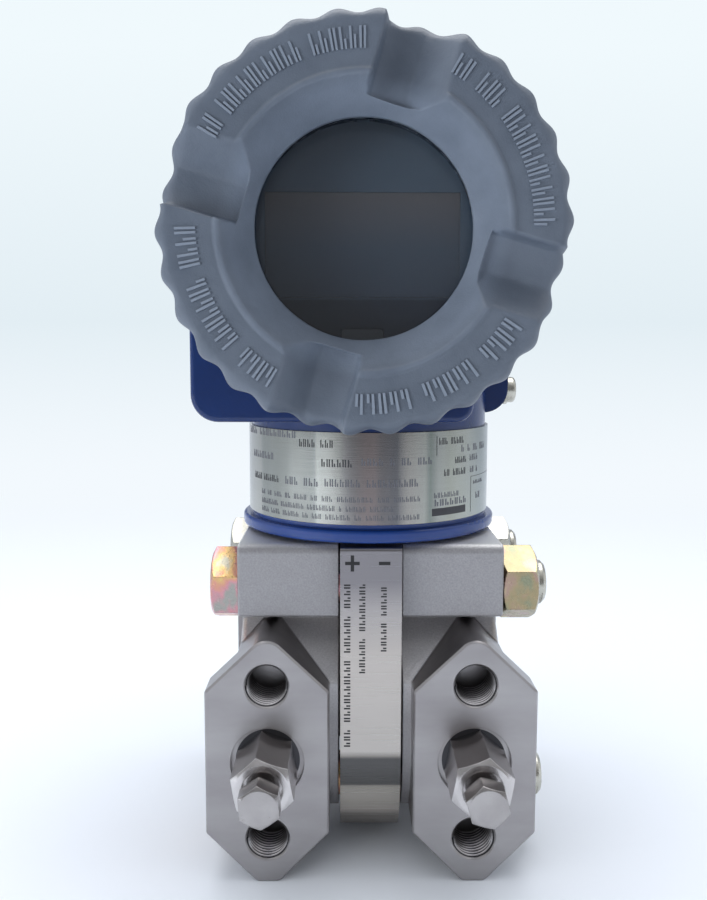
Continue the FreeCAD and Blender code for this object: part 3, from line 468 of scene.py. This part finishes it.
def plating(name, stops, size_mm):
    """Plated steel with the given tints in front. The rear ones are painted pale as a painted glare of the
    bright room, and the bolts' cut ends are paler too.
    """
    def tint(tree):
        x, y, z = add_node(tree, "ShaderNodeSeparateXYZ", {0: in_millimetres(tree)}).outputs
        # The rear bolts' pale tint is painted glare.
        rear = add_node(tree, "ShaderNodeMath", {0: y, 1: 0.0}, operation="GREATER_THAN")
        cut_end = add_node(tree, "ShaderNodeMath", {0: x, 1: BOLT_CUT_END}, operation="GREATER_THAN")
        plain = add_node(tree, "ShaderNodeMath", {0: rear, 1: cut_end}, operation="MAXIMUM")
        vivid = toned(tree, grain(tree, size_mm, 3, (1.4, 1, 1)), stops)
        glare_and_cut_end_tint = toned(tree, grain(tree, size_mm, 2), [(0.35, "#b4b2a8"), (0.65, "#c4c1b6")])
        return add_node(tree, "ShaderNodeMix", {0: plain, 6: vivid, 7: glare_and_cut_end_tint}, data_type="RGBA").outputs[2]
    return shade(name, tint, lambda t: uneven(t, 0.2, 0.34, 2.5),
                 lambda t: relief(t, 0.35, grain(t, 1.11), 0.02))


plated_heads = plating("zinc_plated_steel_pink_and_orange",
                       [(0.34, "#a3a29c"), (0.44, "#cd959c"), (0.52, "#d59c87"), (0.6, "#dcb87c"),
                        (0.7, "#c3bda8")], 9.524)
plated_nuts = plating("zinc_plated_steel_yellow",
                      [(0.34, "#8e9078"), (0.46, "#a39474"), (0.56, "#a98f82"), (0.68, "#c0b78c")], 8.333)
dress(plated_heads, "cover_bolts")
dress(plated_nuts, "cover_nuts", "ground_screw", "ground_washer")
bolt_rows = [(y, z) for z in (20.3, 75.5) for y in (-22.0, 22.0)]
threads("bolt_end_threads", [(45.7, y, z) for y, z in bolt_rows], (0, 90, 0), (5.85, 1.0, 1.2, 0.28),
        plated_nuts, "sensor")


# Vent plugs and vent screws: turned and milled from stainless bar.
# The flats are left with fine lines from the drawn bar, and the screws' ends are a little duller.

def bar_steel(name, low, high):
    """Drawn hexagon bar, bright along the draw, with its edges just broken."""
    return shade(
        name,
        lambda t: toned(t, grain(t, 6.25, 3, (1, 0.25, 1)), [(0.3, low), (0.7, high)]),
        lambda t: uneven(t, 0.2, 0.3, 1.43, 3, (1, 0.1, 1)),
        lambda t: relief(t, 0.3, grain(t, 0.417, 2, (1, 0.08, 1)), 0.004))


dress(bar_steel("stainless_steel_drawn_bar", "#c4c0bf", "#d4d0cf"), "left_vent_plug", "right_vent_plug")
dress(bar_steel("stainless_steel_turned_bar", "#a29e9d", "#b2aead"), "left_vent_screw", "right_vent_screw")


# Housing: a die casting in aluminium with a deep blue epoxy coat.
# The neck's foot ring is painted a lighter blue than the barrel, whose darker tone is painted shade, and the
# edges catch paler highlights.

def pebbled(tree, edges_mm, depth_mm):
    """The even, slightly pebbled skin of a powder coat."""
    both = add_node(tree, "ShaderNodeMix", {0: 0.4, 2: grain(tree, 1.43), 3: grain(tree, 0.385, 2)})
    return relief(tree, edges_mm, both, depth_mm)


# Blue coat: glossy, so that it mirrors the pale room, and darker over the barrel than on the ring, as painted
# shade under the cover.
coat_painted_shade_tones = [(88, "#103272"), (98, "#103272"), (112, "#0c2554"), (190, "#0f2c60")]
blue_coat = shade(
    "blue_epoxy_coat",
    lambda t: mottled(t, by_height(t, coat_painted_shade_tones), 0.85, 1.15, 8.333, 4),
    lambda t: uneven(t, 0.15, 0.22, 2.0),
    lambda t: pebbled(t, 0.5, 0.05), metallic=0.0)
dress(blue_coat, "housing")

# Black oxide: a dark grey skin that still shines like steel.
dark_screw = shade("black_oxide_steel", "#4c4a48", 0.35, lambda t: relief(t, 0.1))
dress(dark_screw, "neck_lock_screw")

# Rubber: near black and dull, with a faint moulded grain.
rubber = shade("black_rubber", "#17171a", 0.55, lambda t: relief(t, 0.15, grain(t, 1.11), 0.03), metallic=0.0)
dress(rubber, "neck_seal")

# Dull zinc plate: an even warm grey on the plug and in the thread of the open entry.
dull_zinc = shade("zinc_plated_steel_dull", "#a9a79e", 0.4, lambda t: relief(t, 0.3, grain(t, 0.833), 0.03))
dress(dull_zinc, "conduit_plug")
threads("conduit_entry_threads", [(40.0, 19.5, 139.0)], (0, -90, 0), (10.4, 1.81, 10, 0.7), dull_zinc,
        "housing")


# Nameplate band: thin stainless sheet wrapped round the neck, with a satin polish.
# Rows of short printed strokes lie on it, with a solid bar and thin lines between them.

BAND_RADIUS = 35.0


def band_painted_reflections(tree):
    """Upright bands of painted reflection round the neck, over faint streaks."""
    x, y, z = add_node(tree, "ShaderNodeSeparateXYZ", {0: in_millimetres(tree)}).outputs
    forward = add_node(tree, "ShaderNodeMath", {0: y, 1: -1.0}, operation="MULTIPLY")
    angle = add_node(tree, "ShaderNodeMath", {0: x, 1: forward}, operation="ARCTAN2")
    around = add_node(tree, "ShaderNodeMapRange", {"Value": angle, "From Min": -math.pi, "From Max": math.pi})
    # Each stop is a painted reflection of the room in the curved sheet.
    zones = [(-180, "#a6a7a6"), (-60, "#afafa9"), (-57, "#989b96"), (-36, "#92948f"), (-27, "#878985"),
             (-25.2, "#8d908c"), (-24.8, "#a2a49e"), (-19, "#a7a8a2"), (-14, "#a6a6a0"), (-11.5, "#969492"),
             (-8, "#827f7e"), (-2, "#887e7c"), (1, "#8b817f"), (4, "#7c7878"), (11, "#6f6f72"),
             (13, "#8f8d8b"), (16, "#a3a09a"), (24, "#9a9b95"), (26.4, "#777e78"), (28, "#80847f"),
             (31, "#91938e"), (38, "#96988f"), (50, "#a6a9a2"), (64, "#989e9b"), (180, "#a6a7a6")]
    painted_reflections = toned(tree, around, [((degrees + 180) / 360, colour) for degrees, colour in zones])
    return mottled(tree, painted_reflections, 0.9, 1.1, 3.846, 2, (1, 1, 0.02))


# Satin sheet: painted upright reflections with a hair-fine grain, drawn coarser than a real one, to show.
satin_sheet = shade(
    "stainless_sheet_satin", band_painted_reflections,
    lambda t: uneven(t, 0.18, 0.26, 0.667, 3, (0.05, 0.05, 1)),
    lambda t: relief(t, 0.15, grain(t, 0.286, 2, (0.04, 0.04, 1)), 0.006))
dress(satin_sheet, "nameplate_band")


def on_band(a, b, lift):
    """A point on the band from the arc length to the right of its front and the height."""
    angle = a / BAND_RADIUS
    return ((BAND_RADIUS + lift) * math.sin(angle), -(BAND_RADIUS + lift) * math.cos(angle), b)


# Print: matt ink that lies flat on the sheet, near black in the bold rows and grey in the light ones.
print_ink = shade("dark_print", "#2a2b30", 0.45, lambda t: relief(t, 0.05), metallic=0.0)
pale_ink = shade("grey_print", "#55575f", 0.45, lambda t: relief(t, 0.05), metallic=0.0)
bold_rows = [
    (-20.2, -9.9, 113.9, 115.9, (4, 3)), (-13.5, -4.8, 108.9, 110.9, (6,)),
    (18.9, 28.4, 114.4, 116.2, (3, 5)), (24.7, 29.6, 109.1, 110.8, (6,)),
    (20.7, 29.4, 105.9, 107.7, (2, 5)), (-41.0, -27.5, 103.6, 105.4, (5, 7)),
]
light_rows = [
    (-2.7, 17.0, 109.4, 111.3, (4, 1, 2, 3)), (-25.1, -14.1, 103.5, 105.6, (3, 3)),
    (-12.6, 12.9, 103.7, 105.7, (7, 10)), (-36.0, 13.5, 99.7, 101.1, (2, 2, 3, 2, 4, 2, 3, 9, 3, 7)),
    (-36.0, 6.0, 97.2, 98.6, (9, 9, 9, 1, 6, 7)), (-36.0, 13.3, 94.9, 96.3, (4, 4, 6, 2, 3, 7, 2, 5, 9)),
    (-46.0, -20.9, 116.0, 117.9, (4, 9)), (-42.0, -29.6, 109.6, 111.5, (8,)),
    (27.2, 41.5, 112.0, 113.9, (1, 1, 2, 3)), (31.2, 36.0, 109.3, 111.0, (4,)),
    (31.4, 36.0, 106.0, 107.7, (2, 1)), (17.5, 26.5, 100.2, 101.6, (8,)), (17.6, 30.0, 98.0, 99.8, (7,)),
    (33.4, 40.0, 102.6, 103.6, (6,)), (34.8, 38.0, 98.4, 100.2, (2,)),
]
solid_bar = [(16.9, 29.4, 95.4, 97.4)]
thin_lines = [(18.15, 18.35, 111.6, 116.8), (32.0, 32.15, 95.0, 104.9), (32.0, 48.0, 104.75, 104.9)]
bold_marks = [mark for row in bold_rows for mark in strokes(*row)]
light_marks = [mark for row in light_rows for mark in strokes(*row)]
marks_mesh("band_bold_print", bold_marks + solid_bar + thin_lines, on_band, print_ink, "housing")
marks_mesh("band_light_print", light_marks, on_band, pale_ink, "housing")


# Front cover: an aluminium die casting with a blue-grey epoxy coat, screwed on with a coarse thread.
# It has thirty soft scallops for the hand, four grooves for a bar and a funnel that leads to the window.
# Rows of short raised strokes are cast on its face between the grooves.

AXIS_X = -2.4
AXIS_Z = 167.6
HOUSING_END = 39.5
SCALLOPS = 30
SCALLOP_CLOCK = 10.2
MIDDLE_RADIUS = 47.75
SCALLOP_DEPTH = 0.85
RIM_START = 45.0
GROOVE_CLOCK = 16.3
GROOVE_DEPTH = 8.2
GROOVE_INNER_END = 28.9
GROOVE_SPREAD = 12.5
LINE_REACH = 47.0
QUARTER = 90.0
THREAD_PITCH = 2.0
THREAD_DEPTH = 1.0
FACE_HEIGHT = 19.8
LIP_HEIGHT = 20.5
ROW_RADIUS = 40.8
ROW_HALF_HEIGHT = 2.4


def smooth_min(a, b, k):
    """The lower of two values, with the change between them rounded over about k."""
    h = max(k - abs(a - b), 0.0) / k
    return min(a, b) - h * h * k * 0.25


def ease(value):
    """0 below 0, 1 above 1, and a smooth change between."""
    v = min(max(value, 0.0), 1.0)
    return v * v * (3 - 2 * v)


def scalloped_radius(clock):
    """The outline of the cover at a clock angle in degrees: thirty soft lobes."""
    return MIDDLE_RADIUS - SCALLOP_DEPTH * math.cos(math.radians(SCALLOPS * (clock - SCALLOP_CLOCK)))


def groove_height(t, floor):
    """The height of a bar groove's surface at the sideways place t: steep on one side, gentle on the other."""
    if t < 0:
        rise = 0.045 * t * t + max(0.0, -t - 7.35) * 7.0
        soft = 0.9
    else:
        rise = 0.1 * t + max(0.0, t - 1.0)
        soft = 2.2
    return floor + (rise * rise / (rise + soft) if rise > 0 else 0.0)


def cover_face(radius, clock, face, profile):
    """The height of the cover's front surface at a place, from its plain profile and the nearest groove."""
    turn = math.radians((clock - GROOVE_CLOCK + QUARTER / 2) % QUARTER - QUARTER / 2)
    along, t = radius * math.cos(turn), radius * math.sin(turn)
    plain = profile(radius)
    if abs(t) > 12.0 or along < GROOVE_INNER_END - 1.3:
        return plain
    groove = groove_height(t, face - GROOVE_DEPTH) + max(0.0, GROOVE_INNER_END - along) * 9.0
    return smooth_min(plain, groove, 0.55)


def lerp_profile(corners):
    """A height for each radius, straight between corners."""
    def height(radius):
        for (r0, h0), (r1, h1) in zip(corners, corners[1:]):
            if radius <= r1:
                return h0 + (h1 - h0) * (radius - r0) / (r1 - r0)
        return corners[-1][1]
    return height


def ring_radius(radius, u):
    """A ring's radius on the line u degrees from a groove. It straightens across the groove's inner end."""
    hold = ease((radius - 26.6) / 1.2) * (1 - ease((radius - 31.0) / 7.0))
    t = LINE_REACH * math.sin(math.radians(min(abs(u), GROOVE_SPREAD)))
    return radius + hold * (math.hypot(radius, t) - radius) * (1 - ease((abs(u) - GROOVE_SPREAD) / 25.0))


def line_turn(radius, u):
    """The angle of a line at a radius. Lines run straight along a groove, and fan out between the grooves."""
    if radius < 15.0:
        return u
    if abs(u) <= GROOVE_SPREAD:
        t = LINE_REACH * math.sin(math.radians(abs(u)))
        return math.copysign(math.degrees(math.asin(min(0.94, t / radius))), u)
    t = LINE_REACH * math.sin(math.radians(GROOVE_SPREAD))
    near = math.degrees(math.asin(min(0.94, t / radius)))
    share = (abs(u) - GROOVE_SPREAD) / (QUARTER / 2 - GROOVE_SPREAD)
    return math.copysign(near + (QUARTER / 2 - near) * share, u)


def rim_and_skirt(clock, top):
    """The rounded rim, the scalloped side and the bevelled back edge of the flange."""
    edge = scalloped_radius(clock)
    deep = 1.3 + 1.1 * (edge - RIM_START)
    low = top - deep
    row = []
    for degrees in range(10, 91, 10):
        bend = math.radians(degrees)
        row.append((RIM_START + (edge - RIM_START) * math.sin(bend), clock, low + deep * math.cos(bend)))
    row += [(edge, clock, 0.9 + (low - 0.9) * share) for share in (0.75, 0.5, 0.25, 0.0)]
    return row + [(edge - 0.12, clock, 0.62), (edge - 0.4, clock, 0.5), (RIM_START, clock, 0.5)]


def inside_row(inside, clock):
    """The inside of the cover. A negative radius lies on the thread, whose groove turns with the clock."""
    row = []
    for radius, height in inside:
        if radius < 0:
            cut = ease((1.1 - height) / 0.8) * ease((height + 9.3) / 0.8)
            wave = abs((height / THREAD_PITCH - clock / 360.0) % 1.0 * 2.0 - 1.0)
            row.append((-radius - THREAD_DEPTH * cut * wave, clock, height))
        else:
            row.append((radius, clock, height))
    return row


def cover_mesh(face, inner_radii, profile, inside, lines):
    """Rows of (radius, clock, height) for a threaded cover, one row for each of its lines.

    inner_radii run from the middle or the window lip outwards, and inside closes the section again.
    """
    radii = inner_radii + [r / 10 for r in range(270, 300, 2)] + [30.0 + i * 0.5 for i in range(6)]
    radii += [32.8, 33.05, 33.4, 33.8, 34.15, 34.4, 34.7, 35.0, 35.6] + [36.5 + i * 0.76 for i in range(12)]
    rows = []
    for index in range(lines):
        quarter, step = divmod(index, lines // 4)
        u = QUARTER * step / (lines // 4) - QUARTER / 2
        row = []
        for ring in radii:
            radius = ring_radius(ring, u)
            clock = GROOVE_CLOCK + QUARTER * quarter + line_turn(radius, u)
            row.append((radius, clock, cover_face(radius, clock, face, profile)))
        rows.append(row + rim_and_skirt(clock, row[-1][2]) + inside_row(inside, clock))
    return rows


def closed_rows(rows, to_place, closed_section):
    """A closed mesh from rows round an axis. An open section ends in a pole at each end."""
    width = len(rows[0])
    points = []
    for row in rows:
        for radius, clock, height in row:
            angle = math.radians(clock)
            points.append(to_place(radius * math.sin(angle), radius * math.cos(angle), height))
    faces = []
    for i in range(len(rows)):
        after = (i + 1) % len(rows)
        for k in range(width if closed_section else width - 1):
            up = (k + 1) % width
            faces.append((i * width + k, after * width + k, after * width + up, i * width + up))
    if not closed_section:
        for k, height in ((0, rows[0][0][2]), (width - 1, rows[0][-1][2])):
            pole = len(points)
            points.append(to_place(0.0, 0.0, height))
            for i in range(len(rows)):
                after = (i + 1) % len(rows)
                ring = (i * width + k, after * width + k, pole)
                faces.append(ring[::-1] if k == 0 else ring)
    return points, faces


def at_front_cover(across, up, height):
    """A place on the front cover, from its axis and the housing's end."""
    return (AXIS_X + across, -HOUSING_END - height, AXIS_Z + up)


def funnel_tone(tree):
    """The coat's drifting grey, with painted light that makes it a shade lighter within the funnel."""
    reach = off_axis(tree, in_millimetres(tree), AXIS_X, AXIS_Z)
    # Painted light: up to a third lighter inside the funnel.
    funnel_painted_light = add_node(tree, "ShaderNodeMapRange", {"Value": reach, "From Min": 31.0, "From Max": 35.0,
                                                 "To Min": 1.32, "To Max": 0.97})
    drifting = toned(tree, grain(tree, 11.11, 5), [(0.3, "#505966"), (0.7, "#5c6572")])
    return add_node(tree, "ShaderNodeVectorMath", {0: drifting, "Scale": funnel_painted_light}, operation="SCALE")


# Grey coat: a matt powder coat with a fine pebble and slow, faint changes of tone.
grey_coat = shade("blue_grey_epoxy_coat", funnel_tone, lambda t: uneven(t, 0.42, 0.55, 1.667),
                  lambda t: pebbled(t, 0.3, 0.15), metallic=0.0)

thread_lines = [(-38.42, 1.2 - 0.25 * i) for i in range(42)]
spigot = [(41.22, 0.5), (41.22, 1.5), (38.42, 1.5)] + thread_lines + [(37.6, -9.5)]
front_inside = spigot + [(32.5, -9.5), (32.1, -9.1), (32.1, 8.85), (31.95, 9.0), (26.3, 9.0), (26.0, 9.25)]
window_profile = lerp_profile([(26.0, 10.7), (26.12, 10.95), (33.0, LIP_HEIGHT - 0.15), (33.2, LIP_HEIGHT),
                               (34.0, LIP_HEIGHT), (34.7, FACE_HEIGHT), (60.0, FACE_HEIGHT)])
window_edge_radii = [26.0, 26.04, 26.12, 26.3, 26.6]
front_rows = cover_mesh(LIP_HEIGHT, window_edge_radii, window_profile, front_inside, 640)
front_points, front_faces = closed_rows(front_rows, at_front_cover, True)
front_cover = new_piece("front_cover_cast", front_points, front_faces, grey_coat)
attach(front_cover, "front_cover")
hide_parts("front_cover")
dress(rubber, "front_cover_seal", "window_gasket")


def on_front_face(a, b, lift):
    """A point over the cover's face from the arc length round its middle line and the distance outwards."""
    clock, radius = a / ROW_RADIUS, ROW_RADIUS + b
    return at_front_cover(radius * math.sin(clock), radius * math.cos(clock), FACE_HEIGHT + lift)


# Raised coat: the same powder coat, a shade lighter where it stands out.
raised_coat = shade("blue_grey_epoxy_coat_lighter", "#747e8c", 0.5, lambda t: pebbled(t, 0.12, 0.08),
                    metallic=0.0)
raised_rows = []
for clock_from, clock_to, groups in ((-61, 1, (2, 10, 6)), (29.5, 91, (2, 3, 12)), (122.5, 184, (4, 5, 5)),
                                     (211, 270, (4, 7, 4))):
    raised_rows += strokes(ROW_RADIUS * math.radians(clock_from), ROW_RADIUS * math.radians(clock_to),
                           -ROW_HALF_HEIGHT, ROW_HALF_HEIGHT, groups)
marks_mesh("front_cover_raised_marks", raised_rows, on_front_face, raised_coat, "front_cover",
           sunk=-0.3, proud=0.4)


# Window: a thick flat disc of toughened glass, clear, with a faint grey cast.
# It sits on a rubber ring behind the lip of the cover, and a turned ring holds it.

# Clear glass: it mirrors the room faintly, and lets light through to the display without a dark shadow.
clear_glass, tree, output = new_material("toughened_glass_clear")
glass_body = add_node(tree, "ShaderNodeBsdfPrincipled",
                      {"Base Color": hex_colour("#d3d9df"), "Roughness": 0.0, "Transmission Weight": 1.0,
                       "IOR": 1.52})
light_through = add_node(tree, "ShaderNodeBsdfTransparent", {"Color": hex_colour("#d3d9df")})
shadow_ray = add_node(tree, "ShaderNodeLightPath").outputs["Is Shadow Ray"]
glass = add_node(tree, "ShaderNodeMixShader", {0: shadow_ray, 1: glass_body, 2: light_through})
tree.links.new(glass.outputs[0], output.inputs["Surface"])
dress(clear_glass, "window_glass")


# Display: a black moulding with a brownish grey panel and one grey key, screwed on the electronics.
# The panel is off, so its face is one even tone with a painted reflection that grows paler towards the top.

# Moulded plastic: dull and nearly black, with the fine skin of a sparked mould.
black_moulding = shade("black_moulded_plastic", "#1c1d22", 0.42,
                       lambda t: relief(t, 0.3, grain(t, 0.556), 0.02), metallic=0.0)
dress(black_moulding, "electronics_module", "terminal_block")
bezel_tones = [(140, "#2c3344"), (152, "#323a4a"), (153, "#5c6774"), (190, "#687684")]
bezel = shade("grey_black_moulded_bezel", lambda t: by_height(t, bezel_tones), 0.45,
              lambda t: relief(t, 0.3, grain(t, 0.556), 0.02), metallic=0.0)
dress(bezel, "display_module")

# Panel: smooth glass over a dark layer, with a soft painted reflection that grows paler towards the top.
panel_painted_reflection = [(152, "#545c69"), (165, "#616974"), (178, "#7d7675")]
panel_glass = shade("display_panel_off", lambda t: by_height(t, panel_painted_reflection), 0.3, lambda t: relief(t, 0.1),
                    metallic=0.0)
dress(panel_glass, "lcd_panel")

# Key: the same moulding in a plain mid grey.
grey_key = shade("grey_moulded_key", "#77777b", 0.5, lambda t: relief(t, 0.3, grain(t, 0.556), 0.02),
                 metallic=0.0)
dress(grey_key, "setting_button")
dress(dark_screw, "module_screws")


# Rear cover: the blind twin of the front one, with a shallow dish in its face.
# It is cast, coated and threaded in the same way, and closes the terminal compartment.

BLIND_FACE_HEIGHT = 14.8
BLIND_LIP_HEIGHT = 15.5


def at_rear_cover(across, up, height):
    """A place on the rear cover, from its axis and the housing's other end."""
    return (AXIS_X + across, HOUSING_END + height, AXIS_Z - up)


blind_profile = lerp_profile([(0.0, 13.0), (28.0, 13.0), (29.6, 13.2), (30.6, BLIND_LIP_HEIGHT - 0.2),
                              (31.0, BLIND_LIP_HEIGHT), (34.0, BLIND_LIP_HEIGHT), (34.7, BLIND_FACE_HEIGHT),
                              (60.0, BLIND_FACE_HEIGHT)])
rear_inside = spigot + [(34.9, -9.5), (34.42, -9.1), (34.42, 1.2), (34.0, 1.5), (20.0, 1.5), (6.0, 1.5)]
dish_radii = [4.0, 10.0, 16.0, 21.0, 24.0, 26.0, 26.6]
rear_rows = cover_mesh(BLIND_LIP_HEIGHT, dish_radii, blind_profile, rear_inside, 480)
rear_points, rear_faces = closed_rows(rear_rows, at_rear_cover, False)
rear_cover = new_piece("rear_cover_cast", rear_points, rear_faces, grey_coat)
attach(rear_cover, "rear_cover")
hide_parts("rear_cover")
dress(rubber, "rear_cover_seal")


# Terminals: three plated screws on a black block in the rear compartment.
# A ground screw, turned from brass and warm yellow, sits below them.

dress(dull_zinc, "terminal_screws")
brass = shade("brass_turned", "#b8964e", 0.28, lambda t: relief(t, 0.1))
dress(brass, "inner_ground_screw")


# Light: a pale room, brightest above, behind and at the sides, and dim in front where the camera stands.
# One wide soft box above gives the tops their shine, and two low ones lift the sides.

world = bpy.data.worlds.new("studio_room")
bpy.context.scene.world = world
world.use_nodes = True
room = world.node_tree
looking = add_node(room, "ShaderNodeTexCoord").outputs["Generated"]
facing = add_node(room, "ShaderNodeSeparateXYZ", {0: looking}).outputs
wall_light = add_node(room, "ShaderNodeMapRange", {"Value": facing["Y"], "From Min": -1.0, "From Max": 0.3,
                                                   "To Min": 0.28, "To Max": 1.0},
                      interpolation_type="SMOOTHSTEP")
top_light = add_node(room, "ShaderNodeMapRange", {"Value": facing["Z"], "From Min": 0.35, "From Max": 0.95,
                                                  "To Min": 0.0, "To Max": 0.45},
                     interpolation_type="SMOOTHSTEP")
room_light = add_node(room, "ShaderNodeMath", {0: wall_light, 1: top_light}, operation="ADD")
camera_ray = add_node(room, "ShaderNodeLightPath").outputs["Is Camera Ray"]
brightness = add_node(room, "ShaderNodeMix", {0: camera_ray, 2: room_light, 3: 0.98})
background = room.nodes["Background"]
background.inputs["Color"].default_value = hex_colour("#f2f5fa")
room.links.new(brightness.outputs[0], background.inputs["Strength"])


def soft_box(name, place, size, power):
    """A white rectangular area light that faces the middle of the object."""
    data = bpy.data.lights.new(name, "AREA")
    data.shape = "RECTANGLE"
    data.size, data.size_y = size
    data.energy = power
    lamp = bpy.data.objects.new(name, data)
    bpy.context.scene.collection.objects.link(lamp)
    lamp.location = place
    aim = Vector((0.0, 0.0, 0.1)) - Vector(place)
    lamp.rotation_euler = aim.to_track_quat("-Z", "Y").to_euler()
    return lamp


soft_box("soft_box_above", (0.0, 0.15, 1.0), (0.9, 0.8), 6.0)
soft_box("bounce_left", (-0.7, -0.5, 0.06), (0.6, 0.3), 7.0).visible_glossy = False
soft_box("bounce_right", (0.75, -0.3, 0.05), (0.6, 0.3), 2.0).visible_glossy = False

# Camera: in front, a little above the middle, close to the object, looking slightly down.
stand = Vector((-0.0067, -0.2735, 0.1392))
pitch, yaw, roll = math.radians(6.14), math.radians(0.49), math.radians(0.11)
camera_data = bpy.data.cameras.new("camera")
camera_data.sensor_fit = "HORIZONTAL"
camera_data.sensor_width = 36.0
camera_data.lens = 47.15
camera_data.clip_start = 0.01
camera = bpy.data.objects.new("camera", camera_data)
bpy.context.scene.collection.objects.link(camera)
forward = Vector((math.sin(yaw) * math.cos(pitch), math.cos(yaw) * math.cos(pitch), -math.sin(pitch)))
level = Vector((math.cos(yaw), -math.sin(yaw), 0))
upward = level.cross(forward)
right = math.cos(roll) * level + math.sin(roll) * upward
top = -math.sin(roll) * level + math.cos(roll) * upward
camera.matrix_world = Matrix((
    (right.x, top.x, -forward.x, stand.x),
    (right.y, top.y, -forward.y, stand.y),
    (right.z, top.z, -forward.z, stand.z),
    (0, 0, 0, 1),
))
bpy.context.scene.camera = camera
bpy.context.scene.view_settings.view_transform = "Standard"
